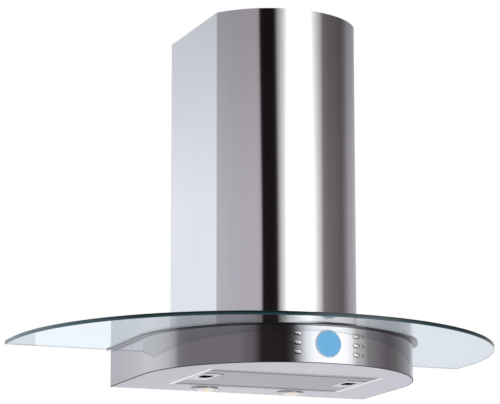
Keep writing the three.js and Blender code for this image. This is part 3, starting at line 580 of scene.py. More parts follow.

# The edge faces are opaque and their dark teal is painted: darker towards the top as painted shade and
# lighter at the tips as painted light.
edge_values = {"Roughness": 0.12, "IOR": 1.52}
ground_edge, edge_tree, edge_look = new_material("polished_glass_edge", edge_values)
edge_place = own_place(edge_tree)
edge_parts = add_node(edge_tree, "SeparateXYZ", {0: edge_place}).node.outputs
edge_shade_by_height = [(0, (0.030, 0.080, 0.090)), (0.45, (0.014, 0.042, 0.048)), (0.9, (0.001, 0.004, 0.005))]
edge_height = scaled(edge_tree, edge_parts["Z"], pane_low, pane_high)
edge_painted_shade = ramp(edge_tree, edge_height, edge_shade_by_height)
edge_away = add_node(edge_tree, "Math", {0: edge_parts["X"]}, operation="ABSOLUTE")
tip_share = scaled(edge_tree, edge_away, tip_start, pane_radius)
edge_tone = mixed(edge_tree, tip_share, edge_painted_shade, (0.13, 0.22, 0.25, 1))
fill(edge_tree, edge_look, {"Base Color": edge_tone})
pane.data.materials.append(ground_edge)
edit_mesh()
choose(
    lambda face: abs(face.normal.z) < 0.85
    and (
        math.hypot(middle(face).x, middle(face).y + pane_depth - pane_radius) > pane_radius - edge_band
        or middle(face).y > -edge_band
        or abs(middle(face).x) > pane_radius - edge_band
    )
)
pane.active_material_index = 1
bpy.ops.object.material_slot_assign()
end_edit()
fit(pane, None, "hood", "glass_canopy")

# ---- Seat plate and gasket under the glass ----
# A thin stainless plate that stands out round the body carries the pane on a black foam gasket.
# Both are open in the middle for the air and the clamping screws.

seat_radius = 0.259
seat_depth = 0.429
gasket_radius = 0.257
gasket_depth = 0.427
gasket_width = 0.027

seat_low, seat_high = (corner.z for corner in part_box("glass_seat_plate"))
seat_plate = bowed_plate("glass_seat", seat_radius, seat_depth, 0, seat_low, seat_high)
open_for_air(seat_plate, seat_low, seat_high)
round_edges(seat_plate, 0.00025)


def painted_shade_across(material, axis, first, last, tones, on_rims=False):
    """Paints shade on a finish: multiplies its colour by tones at shares of the way from first to last along
    an axis.

    With on_rims the tones go on upright faces only."""
    tree = material.node_tree
    look = tree.nodes["Principled BSDF"]
    plain = look.inputs["Base Color"].links[0].from_socket
    place = tree.nodes["Texture Coordinate"].outputs["Object"]
    apart = add_node(tree, "SeparateXYZ", {0: place}).node.outputs
    tone = ramp(tree, scaled(tree, apart[axis], first, last), tones)
    share = 1
    if on_rims:
        facing = add_node(tree, "NewGeometry", {}, "Normal")
        up = add_node(tree, "SeparateXYZ", {0: facing}, "Z")
        level = add_node(tree, "Math", {0: up}, operation="ABSOLUTE")
        share = scaled(tree, level, 0.6, 0.95, 1, 0)
    fill(tree, look, {"Base Color": mixed(tree, share, plain, tone, "MULTIPLY")})


seat_satin = brushed_steel("seat_steel", (0.70, 0.69, 0.71), "X", roughness=0.22)
# The plate's colour is painted shade: dark over the middle, where it stands above the body, light at its far
# ends, and its upright rims darker still except at the right end.
light, shaded, rim_shaded = (1, 1, 1), (0.18, 0.165, 0.175), (0.22, 0.20, 0.21)
shade_tones = [(0.02, light), (0.10, shaded), (0.972, shaded), (0.985, light)]
rim_tones = [
    (0.010, (0.15, 0.14, 0.15)), (0.020, (0.09, 0.085, 0.09)), (0.10, rim_shaded), (0.972, rim_shaded),
    (0.985, light),
]
painted_shade_across(seat_satin, "X", -seat_radius, seat_radius, shade_tones)
painted_shade_across(seat_satin, "X", -seat_radius, seat_radius, rim_tones, on_rims=True)
fit(seat_plate, seat_satin, "hood", "glass_seat_plate")

gasket_low, gasket_high = (corner.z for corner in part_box("glass_gasket"))
foam_strip = bowed_plate("foam_gasket", gasket_radius, gasket_depth, 0, gasket_low, gasket_high)
cut(
    foam_strip,
    bowed_plate(
        "inside", gasket_radius - gasket_width, gasket_depth - gasket_width, gasket_width,
        gasket_low - past, gasket_high + past,
    ),
)
open_for_air(foam_strip, gasket_low, gasket_high)
round_edges(foam_strip, 0.00025)
foam, foam_tree, foam_look = new_material("black_foam", {"Roughness": 0.85})
foam_place = own_place(foam_tree)
cells = add_node(foam_tree, "TexVoronoi", {"Vector": foam_place, "Scale": 1500}, "Distance")
cell_shade = ramp(foam_tree, cells, [(0, (0.004, 0.004, 0.004)), (1, (0.018, 0.018, 0.018))])
foam_bump = bumps(foam_tree, cells, 0.5, 0.0002)
fill(foam_tree, foam_look, {"Base Color": cell_shade, "Normal": foam_bump})
fit(foam_strip, foam, "hood", "glass_gasket")

# ---- Body fascia ----
# One strip of satin stainless wrapped round the body's sides and front, with a lip folded in at its
# top. The display and six buttons look out through holes punched in its middle.

body_radius = 0.250
body_depth = 0.420
body_sheet = 0.0012
body_lip = 0.014
button_width = 0.0125
button_height = 0.0068
button_clearance = 0.0004
button_from_middle = 0.0545
seal_height = 0.0011
seal_inset = 0.0001
seal_back = 0.0005

body_low, body_high = (corner.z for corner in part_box("body_fascia"))
fascia = bowed_plate("body_fascia_wrap", body_radius, body_depth, 0, body_low + seal_height, body_high)
edit_mesh()
choose(lambda face: face.normal.z < -0.9)
bpy.ops.mesh.delete(type="ONLY_FACE")
choose(lambda face: face.normal.z > 0.9)
bpy.ops.mesh.inset(thickness=body_lip)
bpy.ops.mesh.delete(type="FACE")
choose(lambda face: face.normal.y > 0.99)
bpy.ops.mesh.delete(type="FACE")
choose(
    lambda face: face.normal.z > 0.9
    and middle(face).y > -body_lip
    and abs(middle(face).x) < body_radius - body_lip
)
bpy.ops.mesh.delete(type="FACE")
end_edit()
modify(fascia, "SOLIDIFY", thickness=body_sheet, offset=-1, use_even_offset=True)

display_low, display_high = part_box("display_bezel")
display_at = (display_low + display_high) / 2
display_hole = (display_high.x - display_low.x) / 2 + 0.0004
cut(fascia, bar_along("Y", display_hole, -body_depth - past, -body_depth + 0.02, (0, display_at.z), 96))


def pill(width, height, start, end, name="pill"):
    """A flat-sided bar with half-round ends, along Y."""
    radius = height / 2
    shape = bar_along("Y", radius, start, end, (0, 0), 40, name)
    edit_mesh()
    split_at((0, 0, 0), (1, 0, 0))
    for side in (-1, 1):
        choose(lambda vert: vert.co.x * side > hair, "verts")
        bpy.ops.transform.translate(value=(side * (width / 2 - radius), 0, 0))
    turn_outward()
    end_edit()
    return shape


def to_fascia(shape, x, z):
    """Puts a shape made along Y at the origin on the bowed fascia, square to it."""
    shape.rotation_euler = (0, 0, math.asin(x / body_radius))
    shape.location = (x, body_radius - body_depth - math.sqrt(body_radius**2 - x**2), z)
    settle(shape)
    return shape


button_places = {}
for side in ("left", "right"):
    for row in ("top", "middle", "bottom"):
        low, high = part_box(f"button_{side}_{row}")
        sign = -1 if side == "left" else 1
        button_places[f"{side}_{row}"] = (sign * button_from_middle, (low.z + high.z) / 2)
hole_width = button_width + 2 * button_clearance
hole_height = button_height + 2 * button_clearance
for x, z in button_places.values():
    hole = pill(hole_width, hole_height, -just_past, just_past)
    cut(fascia, to_fascia(hole, x, z))
round_edges(fascia)
level_satin = brushed_steel("satin_steel_level", satin_tint, "Z")
fit(fascia, level_satin, "hood", "body_fascia")

# A thin black strip of the gasket's foam sits in the joint at the fascia's lower edge. It stands for a rubber
# seal and also puts a dark line where the gap is in shade: painted shade.
seal_radius, seal_depth = body_radius - seal_inset, body_depth - seal_inset
seal_shadow_strip = bowed_plate("fascia_seal_shadow_strip", seal_radius, seal_depth, 0, body_low, body_low + seal_height)
cut(seal_shadow_strip, bowed_plate("inside", body_radius - body_sheet, body_depth - body_sheet, 0, body_low - past, 0))
edit_mesh()
choose(lambda face: face.normal.y > 0.99)
bpy.ops.transform.translate(value=(0, -seal_back, 0))
end_edit()
round_edges(seal_shadow_strip, 0.0002)
fit(seal_shadow_strip, foam, "hood")

# ---- Back panel and hanging brackets ----
# A galvanised sheet closes the body at the wall. It is stiffened by pressed beads and carries two
# keyholes, each backed by a thicker steel bracket that hooks over a wall screw.

keyhole_radius = 0.006
keyhole_slot = 0.015
bead_depth = 0.0006
bead_length = 0.30
bead_width = 0.005
bead_levels = (-0.022, 0.022)
rivet_radius = 0.0022
rivet_head = 0.0004
rivet_columns = (-0.235, -0.12, 0, 0.12, 0.235)
rivet_levels = (-0.029, 0.0275)

back_low, back_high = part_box("back_panel")
back_panel = block_between(back_low, back_high, "galvanised_back")
for side in ("left", "right"):
    low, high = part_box(f"hanging_bracket_{side}")
    key_x = (low.x + high.x) / 2
    cut(back_panel, bar_along("Y", keyhole_radius, -0.01, 0.01, (key_x, 0), 48))
    slot_low = (key_x - keyhole_radius / 2, -0.01, 0)
    cut(back_panel, block_between(slot_low, (key_x + keyhole_radius / 2, 0.01, keyhole_slot)))
for bead_z in bead_levels:
    bead = pill(bead_length, bead_width, -bead_depth, just_past)
    bead.location.z = bead_z
    settle(bead)
    cut(back_panel, bead)
for rivet_x in rivet_columns:
    for rivet_z in rivet_levels:
        cut(back_panel, bar_along("Y", rivet_radius, -rivet_head, just_past, (rivet_x, rivet_z), 20))
round_edges(back_panel, 0.00025)


def zinc_coated(name, tint=(0.62, 0.63, 0.64), roughness=0.38, spangle=55):
    """Galvanised sheet: flat crystals of zinc of slightly different brightness and gloss."""
    zinc, tree, look = new_material(name, {"Metallic": 0.95})
    place = own_place(tree)
    crystals = add_node(tree, "TexVoronoi", {"Vector": place, "Scale": spangle}, "Color")
    brightness = add_node(tree, "SeparateColor", {0: crystals}).node.outputs
    shade = ramp(tree, brightness[0], [(0, paler(tint, 0.78)), (1, tint)])
    gloss = scaled(tree, brightness[1], 0, 1, roughness - 0.08, roughness + 0.08)
    dents = bumps(tree, noise(tree, place, 220), 0.08, 0.0002)
    fill(tree, look, {"Base Color": shade, "Roughness": gloss, "Normal": dents})
    return zinc


galvanised = zinc_coated("galvanised_sheet")
fit(back_panel, galvanised, "hood", "back_panel")
bracket_zinc = zinc_coated("zinc_plated_bracket", (0.58, 0.58, 0.56), 0.3, 160)
coat_nodes(bracket_zinc, "hanging_bracket_left", "hanging_bracket_right")

# ---- Bottom panel ----
# A flat satin stainless sheet set into the fascia, with a square opening for the filter, two narrow
# slits past its corners where the edges are folded, and two round holes for the lamps.

panel_radius = 0.2485
panel_depth = 0.4185
panel_back = 0.0015
opening_half = 0.167
opening_front = 0.289
opening_rear = 0.075
slit_half = 0.175
slit_width = 0.0014
lamp_x = 0.084
lamp_y = -0.044
lamp_hole = 0.0228

panel_low, panel_high = (corner.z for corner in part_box("bottom_panel"))
bottom_panel = bowed_plate("bottom_sheet", panel_radius, panel_depth, panel_back, panel_low, panel_high)
below, above = panel_low - past, panel_high + past
cut(bottom_panel, block_between((-opening_half, -opening_front, below), (opening_half, -opening_rear, above)))
for slit_y in (-opening_front, -opening_rear - slit_width):
    cut(bottom_panel, block_between((-slit_half, slit_y, below), (slit_half, slit_y + slit_width, above)))
for sign in (-1, 1):
    cut(bottom_panel, bar_along("Z", lamp_hole, below, above, (sign * lamp_x, lamp_y), 64))
round_edges(bottom_panel)
under_satin = brushed_steel("satin_steel_under", (0.78, 0.745, 0.775), "X", roughness=0.32)
# The sheet is painted darker towards its left: painted shade.
under_tones = [
    (0, (0.72, 0.72, 0.73)), (0.3, (0.84, 0.84, 0.84)), (0.5, (0.93, 0.92, 0.93)), (1, (0.90, 0.89, 0.91)),
]
painted_shade_across(under_satin, "X", -panel_radius, panel_radius, under_tones)
fit(bottom_panel, under_satin, "hood", "bottom_panel")

# ---- Filter rails ----
# Two bright folded strips along the sides of the opening cover its cut edges.

rail_sheet = 0.0012
polished = brushed_steel("polished_steel", (0.88, 0.88, 0.89), "Y", roughness=0.22, grain=0.06)
for side in ("left", "right"):
    low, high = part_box(f"filter_rail_{side}")
    rail = block_between(low, (high.x, high.y, low.z + rail_sheet), f"bright_rail_{side}")
    outer = (low.x, low.x + rail_sheet) if side == "left" else (high.x - rail_sheet, high.x)
    upright = block_between((outer[0], low.y, low.z), (outer[1], high.y, high.z))
    cut(rail, upright, "UNION")
    round_edges(rail, 0.0004)
    fit(rail, polished, "hood", f"filter_rail_{side}")

# ---- Filter cassette ----
# A flat aluminium face with a row of fine slots along its front and rear edges, a folded frame
# round it, and expanded metal mesh between. It hooks over the front lip and swings down.

slot_row_count = 46
slot_length = 0.0042
slot_width = 0.0024
slot_rows = (-0.2669, -0.0941)
row_margin = 0.012
row_band = 0.006
mesh_wire = 0.0007
mesh_columns, mesh_rows = 44, 58
mesh_level = 0.0005
wool_gap = Vector((0.001, 0.001, 0.0012))
wool_cuts = 40
window_side = 0.0012

face_low, face_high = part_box("filter_face")
left_grip_low, left_grip_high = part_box("filter_handle_left")
handle_front = left_grip_low.y
handle_rear = handle_front + 0.080
handle_inner = -left_grip_high.x
window_front = handle_front - 0.0092
window_rear = handle_rear + window_side

filter_sheet = block_between(face_low, face_high, "slotted_filter_face")
for sign in (-1, 1):
    inner, outer = sign * (handle_inner - window_side), sign * (face_high.x + past)
    low = (min(inner, outer), window_front, face_low.z - past)
    cut(filter_sheet, block_between(low, (max(inner, outer), window_rear, face_high.z + past)))


def repeat(obj, count, step):
    """Repeats a shape in a row."""
    modify(
        obj, "ARRAY", count=count, use_relative_offset=False, use_constant_offset=True,
        constant_offset_displace=step,
    )


row_pitch = (face_high.x * 2 - 2 * row_margin) / slot_row_count
for row_y in slot_rows:
    first_x = face_low.x + row_margin + row_pitch / 2
    reach = (face_low.z - past, face_high.z + past)
    slots = bar_along("Z", slot_width / 2, *reach, (first_x, row_y), 10)
    edit_mesh()
    split_at((first_x, 0, 0), (1, 0, 0))
    for sign in (-1, 1):
        choose(lambda vert: (vert.co.x - first_x) * sign > hair, "verts")
        bpy.ops.transform.translate(value=(sign * (slot_length - slot_width) / 2, 0, 0))
    end_edit()
    repeat(slots, slot_row_count, (row_pitch, 0, 0))
    cut(filter_sheet, slots)
round_edges(filter_sheet, 0.0002)
filter_satin = brushed_steel("matt_filter_face", (0.54, 0.52, 0.55), "X", roughness=0.42, grain=0.3, fine=420)
# Bands along the slot rows are painted darker and stand in for the shade in the slots: painted shade.
slot_row_painted_shade, plain_shade = (0.42, 0.41, 0.42), (1, 1, 1)
row_tones = [(0, plain_shade), (1, plain_shade)]
for row_y in slot_rows:
    at = (row_y - face_low.y) / (face_high.y - face_low.y)
    reach = row_band / (face_high.y - face_low.y)
    row_tones += [(at - reach * 1.1, plain_shade), (at - reach, slot_row_painted_shade)]
    row_tones += [(at + reach, slot_row_painted_shade), (at + reach * 1.1, plain_shade)]
painted_shade_across(filter_satin, "Y", face_low.y, face_high.y, row_tones)
fit(filter_sheet, filter_satin, "filter_cassette", "filter_face")

frame_satin = brushed_steel("folded_filter_frame", (0.60, 0.60, 0.61), "X", roughness=0.38, grain=0.25)
coat_nodes(frame_satin, "filter_frame")


def expanded_mesh(name, low, high, level):
    """One sheet of expanded metal: a net of narrow strands with diamond openings."""
    width, depth = high.x - low.x, high.y - low.y
    bpy.ops.object.select_all(action="DESELECT")
    bpy.ops.mesh.primitive_grid_add(
        x_subdivisions=mesh_columns, y_subdivisions=mesh_rows, size=1,
        location=((low.x + high.x) / 2, (low.y + high.y) / 2, level),
    )
    net = bpy.context.object
    net.name = name
    net.scale = (width - 2 * mesh_wire, depth - 2 * mesh_wire, 1)
    settle(net)
    edit_mesh()
    select_whole()
    bpy.ops.mesh.poke()
    half_x, half_y = width / (2 * mesh_columns), depth / (2 * mesh_rows)
    choose(
        lambda edge: abs(edge.verts[0].co.x - edge.verts[1].co.x) > half_x * 1.5
        or abs(edge.verts[0].co.y - edge.verts[1].co.y) > half_y * 1.5,
        "edges",
    )
    bpy.ops.mesh.dissolve_edges(use_verts=False)
    end_edit()
    modify(net, "WIREFRAME", thickness=mesh_wire, use_even_offset=False)
    return net


core_low, core_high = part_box("filter_mesh")
mesh_pack = block_between(core_low + wool_gap, core_high - wool_gap, "filter_wool")
edit_mesh()
select_whole()
bpy.ops.mesh.subdivide(number_cuts=wool_cuts)
choose(lambda vert: (round(vert.co.x * 1000) + round(vert.co.y * 1000)) % 2 == 0, "verts")
bpy.ops.transform.resize(value=(1, 1, 0.8), center_override=(0, 0, (core_low.z + core_high.z) / 2))
end_edit()
wool = zinc_coated("crumpled_aluminium", (0.30, 0.30, 0.31), 0.5, 700)
fit(mesh_pack, wool, "filter_cassette", "filter_mesh")
bare_aluminium = brushed_steel("bare_aluminium", (0.72, 0.72, 0.73), "X", roughness=0.35, grain=0.2)
for name, level in (("lower_mesh", core_low.z + mesh_level), ("upper_mesh", core_high.z - mesh_level)):
    sheet_mesh = expanded_mesh(name, core_low, core_high, level)
    fit(sheet_mesh, bare_aluminium, "filter_cassette")

# ---- Filter handles ----
# A small satin plate on each side of the filter with a D-shaped finger hole, its edge rolled under.
# Pulled forward against a spring, it draws its latch bar out of the rear lip.

finger_half = 0.011
finger_front = handle_front + 0.020
finger_rear = finger_front + 0.034
latch_half = 0.0045
latch_shift = 0.003
latch_low = -0.0304
latch_high = -0.0274
handle_sheet = 0.0012
latch_overlap = 0.006

handle_satin = brushed_steel("satin_handle", (0.74, 0.735, 0.75), "X", roughness=0.3, grain=0.15)
for sign, side in ((-1, "left"), (1, "right")):
    low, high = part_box(f"filter_handle_{side}")
    centre_x = (low.x + high.x) / 2
    plate = block_between(low, (high.x, handle_rear, low.z + handle_sheet), f"finger_plate_{side}")
    radius = finger_half
    opening = bar_along("Z", radius, low.z - past, low.z + past, (centre_x, finger_rear - radius), 48)
    cut(plate, opening)
    front_part = (centre_x - radius, finger_front, low.z - past)
    cut(plate, block_between(front_part, (centre_x + radius, finger_rear - radius, low.z + past)))
    latch_x = centre_x + sign * latch_shift
    for bottom, rear in ((low.z + handle_sheet / 2, handle_rear), (latch_low, high.y)):
        latch_corner = (latch_x - latch_half, handle_rear - latch_overlap, bottom)
        cut(plate, block_between(latch_corner, (latch_x + latch_half, rear, latch_high)), "UNION")
    round_edges(plate)
    fit(plate, handle_satin, f"{side}_handle", f"filter_handle_{side}")

# ---- Lamps ----
# Two small round lamps near the wall: a dark chromed ring pressed into the panel, a frosted glass
# lens that bulges below it, and behind it a warm halogen capsule in a white ceramic holder.

lamp_mouth = 0.0213
lamp_can = 0.0225
lamp_bezel = 0.025
lens_radius = 0.0208
lens_bulge = 0.004
lens_glow_ahead = 0.009
lens_steps = 12
lens_tones = [
    (0, (1.0, 0.60, 0.27)), (0.14, (1.0, 0.72, 0.42)), (0.3, (0.86, 0.78, 0.68)), (0.8, (0.66, 0.65, 0.64)),
    (1, (0.40, 0.40, 0.40)),
]
bezel_bottom = -0.0358
bezel_top = -0.0328
can_top = 0.0015

dark_chrome = brushed_steel("dark_chrome_ring", (0.82, 0.80, 0.79), "Z", roughness=0.2, grain=0.05)
lit = {"Roughness": 0.12, "Emission Strength": 4}
capsule_glass, capsule_tree, capsule_look = new_material("capsule_glass", lit)
filament = noise(capsule_tree, own_place(capsule_tree), 120)
warmth = ramp(capsule_tree, filament, [(0, (1.0, 0.62, 0.28)), (1, (1.0, 0.82, 0.55))])
fill(capsule_tree, capsule_look, {"Base Color": warmth, "Emission Color": warmth})


def moulded(name, colour, roughness=0.45, grain=0.12, fine=350):
    """Moulded plastic or ceramic: one colour, slightly mottled, with a fine spark-eroded skin."""
    plastic, tree, look = new_material(name, {})
    place = own_place(tree)
    skin = noise(tree, place, fine, 3)
    shade = ramp(tree, noise(tree, place, 18), [(0, paler(colour, 0.86)), (1, paler(colour, 1.06))])
    gloss = scaled(tree, skin, 0, 1, roughness - 0.07, roughness + 0.07)
    fill(tree, look, {"Base Color": shade, "Roughness": gloss, "Normal": bumps(tree, skin, grain, 0.0002)})
    return plastic


def frosted_lens(name, centre):
    """Frosted lamp glass, lit warm from behind in its middle and greyer towards its rim."""
    lens, tree, look = new_material(name, {"Roughness": 0.28, "Emission Strength": 0.26})
    place = own_place(tree)
    to_middle = {"Location": (-centre[0], -centre[1] + lens_glow_ahead, 0), "Scale": (1, 1, 0)}
    from_middle = add_node(tree, "Mapping", {"Vector": place, **to_middle})
    away = add_node(tree, "VectorMath", {0: from_middle}, operation="LENGTH")
    glow = ramp(tree, scaled(tree, away, 0, lens_radius), lens_tones)
    frost = add_node(tree, "TexVoronoi", {"Vector": place, "Scale": 900}, "Distance")
    rough = bumps(tree, frost, 0.25, 0.0003)
    fill(tree, look, {"Emission Color": glow, "Base Color": glow, "Normal": rough})
    return lens


def swell(rings, outward):
    """Insets the chosen face ring by ring: rings give the way in and the rise of each."""
    reach, lifted = 0, 0
    for inward, rise in rings:
        bpy.ops.mesh.inset(thickness=inward - reach)
        bpy.ops.transform.translate(value=Vector(outward) * (rise - lifted))
        reach, lifted = inward, rise


ceramic = moulded("white_ceramic", (0.80, 0.79, 0.76), 0.6, 0.2, 600)
for sign, side in ((-1, "left"), (1, "right")):
    centre = (sign * lamp_x, lamp_y)
    bezel = bar_along("Z", lamp_bezel, bezel_bottom, bezel_top, centre, 96, f"lamp_ring_{side}")
    can = bar_along("Z", lamp_can, bezel_top - 0.0005, can_top, centre, 96)
    cut(bezel, can, "UNION")
    cut(bezel, bar_along("Z", lamp_mouth, bezel_bottom - past, can_top + past, centre, 96))
    round_edges(bezel, 0.0007, 4)
    fit(bezel, dark_chrome, "hood", f"lamp_bezel_{side}")

    lens_low, lens_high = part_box(f"lamp_lens_{side}")
    rim = lens_low.z + lens_bulge
    lens = bar_along("Z", lens_radius, rim, lens_high.z, centre, 64, f"frosted_lens_{side}")
    ball = (lens_radius**2 + lens_bulge**2) / (2 * lens_bulge)
    edit_mesh()
    choose(lambda face: face.normal.z < -0.9)
    ways_in = [lens_radius * step / (lens_steps + 0.5) for step in range(1, lens_steps + 1)]
    rise_at = lambda way: math.sqrt(ball**2 - (lens_radius - way) ** 2) - (ball - lens_bulge)
    swell([(way, rise_at(way)) for way in ways_in], (0, 0, -1))
    end_edit()
    bpy.ops.object.shade_smooth_by_angle(angle=math.radians(40))
    fit(lens, frosted_lens(f"frosted_lamp_glass_{side}", centre), "hood", f"lamp_lens_{side}")

    low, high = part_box(f"lamp_bulb_{side}")
    capsule = bar_along("Z", (high.x - low.x) / 2, low.z, high.z, centre, 32, f"halogen_capsule_{side}")
    round_edges(capsule, 0.004, 6)
    fit(capsule, capsule_glass, "hood", f"lamp_bulb_{side}")
    coat_nodes(ceramic, f"lamp_holder_{side}")

# ---- Display ----
# A round blue-lit window, slightly domed, in a thin white ring. Fine darker lines on it show the fan
# level, the timer and the lamps. A black case and the circuit board stand behind it.

window_radius = 0.022
ring_radius = 0.0234
window_dome = 0.0006
window_steps = 8
line_width = 0.0009
ink_front = -0.00012
ink_back = 0.00002

white_plastic = moulded("white_moulding", (0.86, 0.88, 0.90), 0.32, 0.05)
ring_low, ring_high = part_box("display_bezel")
display_z = display_at.z
ring = bar_along("Y", ring_radius, ring_low.y, ring_high.y, (0, display_z), 96, "display_ring")
cut(ring, bar_along("Y", window_radius + 0.0003, ring_low.y - past, ring_high.y + past, (0, display_z), 96))
round_edges(ring, 0.0004, 3)
fit(ring, white_plastic, "hood", "display_bezel")

glass_low, glass_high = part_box("display_lens")
window = bar_along(
    "Y", window_radius, glass_low.y + window_dome, glass_high.y, (0, display_z), 96, "display_window"
)
edit_mesh()
choose(lambda face: face.normal.y < -0.9)
shares_in = [step / (window_steps + 0.5) for step in range(1, window_steps + 1)]
swell([(window_radius * share, window_dome * (1 - (1 - share) ** 2)) for share in shares_in], (0, -1, 0))
end_edit()
bpy.ops.object.shade_smooth_by_angle(angle=math.radians(40))

blue_values = {
    "Base Color": (0.01, 0.02, 0.03, 1), "Roughness": 0.5, "Specular IOR Level": 0.1,
    "Emission Strength": 0.93,
}
blue_light, blue_tree, blue_look = new_material("blue_display", blue_values)
diffuser = noise(blue_tree, own_place(blue_tree), 60)
blue_shade = ramp(blue_tree, diffuser, [(0, (0.155, 0.440, 0.745)), (1, (0.175, 0.475, 0.775))])
fill(blue_tree, blue_look, {"Emission Color": blue_shade})
fit(window, blue_light, "hood", "display_lens")


def stroke(x0, z0, x1, z1, width):
    """A printed line: a thin flat bar between two points of the X-Z plane."""
    length = math.hypot(x1 - x0, z1 - z0)
    bpy.ops.object.select_all(action="DESELECT")
    bpy.ops.mesh.primitive_cube_add(size=1)
    line = bpy.context.object
    line.scale = (length, ink_back - ink_front, width)
    line.rotation_euler = (0, -math.atan2(z1 - z0, x1 - x0), 0)
    line.location = ((x0 + x1) / 2, (ink_front + ink_back) / 2, (z0 + z1) / 2)
    settle(line)
    edit_mesh()
    choose(lambda edge: abs(edge.verts[0].co.y - edge.verts[1].co.y) > 0.00005, "edges")
    bpy.ops.mesh.bevel(offset=width * 0.3, segments=2)
    end_edit()
    return line


def printed_ring(x, z, radius, width):
    """A printed circle: a thin flat ring round a point of the X-Z plane."""
    band = bar_along("Y", radius, ink_front, ink_back, (x, z), 32)
    cut(band, bar_along("Y", radius - width, ink_front - 0.001, ink_back + 0.001, (x, z), 32))
    return band


def one_piece(lines, name):
    """Joins printed lines into one piece."""
    bpy.ops.object.select_all(action="DESELECT")
    for line in lines:
        line.select_set(True)
    bpy.context.view_layer.objects.active = lines[0]
    bpy.ops.object.join()
    lines[0].name = name
    return lines[0]


def symbol_lines(kind, size, width):
    """The lines of one plain symbol, drawn round the origin."""
    if kind == "cross":
        return [
            stroke(-size * math.cos(a), -size * math.sin(a), size * math.cos(a), size * math.sin(a), width)
            for a in (math.radians(45), math.radians(135))
        ]
    if kind == "plus":
        return [stroke(-size, 0, size, 0, width), stroke(0, -size, 0, size, width)]
    if kind == "minus":
        return [stroke(-size, 0, size, 0, width)]
    if kind == "ring":
        return [printed_ring(0, 0, size, width)]
    if kind == "ring_with_tail":
        tail = stroke(-size, size, -size * 0.3, size * 0.45, width)
        return [printed_ring(size * 0.3, -size * 0.2, size * 0.85, width), tail]
    return [stroke(0, -size, 0, size, width)]


line_blue = moulded("display_lines", (0.06, 0.25, 0.52), 0.5, 0.02)
line_glow = {"Emission Color": (0.075, 0.17, 0.23, 1), "Emission Strength": 0.75}
fill(line_blue.node_tree, line_blue.node_tree.nodes["Principled BSDF"], line_glow)
display_lines = []
for kind, x, z, size in (
    ("upright", -0.0005, 0.0150, 0.0050),
    ("minus", -0.0110, -0.0015, 0.0090),
    ("upright", -0.0035, -0.0105, 0.0065),
    ("ring", 0.0030, -0.0090, 0.0014),
    ("ring", -0.0125, 0.0065, 0.0011),
    ("minus", 0.0100, -0.0015, 0.0060),
):
    symbol = one_piece(symbol_lines(kind, size, line_width), "symbol")
    dome_here = window_dome * (1 - (x * x + z * z) / window_radius**2)
    symbol.location = (x, glass_low.y + window_dome - dome_here, display_z + z)
    settle(symbol)
    display_lines.append(symbol)
display_print = one_piece(display_lines, "display_lines")
fit(display_print, line_blue, "hood")

black_case = moulded("black_case", (0.018, 0.018, 0.020), 0.5, 0.2)
coat_nodes(black_case, "display_module")

# ---- Buttons and their printed signs ----
# Six domed pill-shaped metal caps, three on each side of the display, each in a thin black sleeve
# that lines its punched hole. They are made once and copied, with a small black sign beside each.

button_proud = 0.0012
button_depth = 0.009
sleeve_wall = 0.0003
sleeve_gap = 0.00006
flange_reach = 0.004
flange_front, flange_back = 0.0024, 0.0039
stem_radius, stem_start = 0.002, 0.005
dome_steps = (0.05, 0.13, 0.24, 0.38, 0.54, 0.70)
sign_from_middle = 0.0675
sign_size = 0.0027
sign_stroke = 0.0010
ring_stroke = 0.0007

button_metal = brushed_steel("satin_button", (0.86, 0.86, 0.86), "X", roughness=0.2, grain=0.05)
button_tree = button_metal.node_tree
button_look = button_tree.nodes["Principled BSDF"]
button_steel = button_look.inputs["Base Color"].links[0].from_socket
# The faces of each cap that look down and to the left are painted dark: painted shade and a painted dark
# reflection.
facing = add_node(button_tree, "NewGeometry", {}, "Normal")
down_left = {0: facing, 1: (-0.45, 0, -0.9)}
toward_floor = add_node(button_tree, "VectorMath", down_left, operation="DOT_PRODUCT")
painted_shade_share = scaled(button_tree, toward_floor, 0.12, 0.45)
button_tone = mixed(button_tree, painted_shade_share, button_steel, (0.06, 0.05, 0.035, 1))
fill(button_tree, button_look, {"Base Color": button_tone})
black_print = moulded("black_print", (0.004, 0.004, 0.004), 0.7, 0.05)
black_print.node_tree.nodes["Principled BSDF"].inputs["Specular IOR Level"].default_value = 0.15

cap = pill(button_width, button_height, 0, button_depth - 0.003, "button_cap")
edit_mesh()
choose(lambda face: face.normal.y < -0.9)
swell(
    [(step * button_height / 2, button_proud * math.sqrt(1 - (1 - step) ** 2)) for step in dome_steps],
    (0, -1, 0),
)
end_edit()
flange = pill(button_width + flange_reach, button_height + flange_reach, flange_front, flange_back)
cut(cap, flange, "UNION")
cut(cap, bar_along("Y", stem_radius, stem_start, button_depth, (0, 0), 24), "UNION")
take(cap)
bpy.ops.object.shade_smooth_by_angle(angle=math.radians(62))
sleeve_width, sleeve_height = hole_width - sleeve_gap, hole_height - sleeve_gap
surround = pill(sleeve_width, sleeve_height, -0.0002, 0.0011, "button_surround")
inside_width, inside_height = hole_width - 2 * sleeve_wall, hole_height - 2 * sleeve_wall
cut(surround, pill(inside_width, inside_height, -just_past, just_past))
round_edges(surround, 0.00008, 2)
signs = {
    "left_top": "cross", "left_middle": "plus", "left_bottom": "minus",
    "right_top": "ring", "right_middle": "ring_with_tail", "right_bottom": "ring_with_tail",
}


def copy_of(model, name):
    """A copy of a modelled piece with its own mesh."""
    copy = model.copy()
    copy.data = model.data.copy()
    copy.name = name
    bpy.context.scene.collection.objects.link(copy)
    return copy


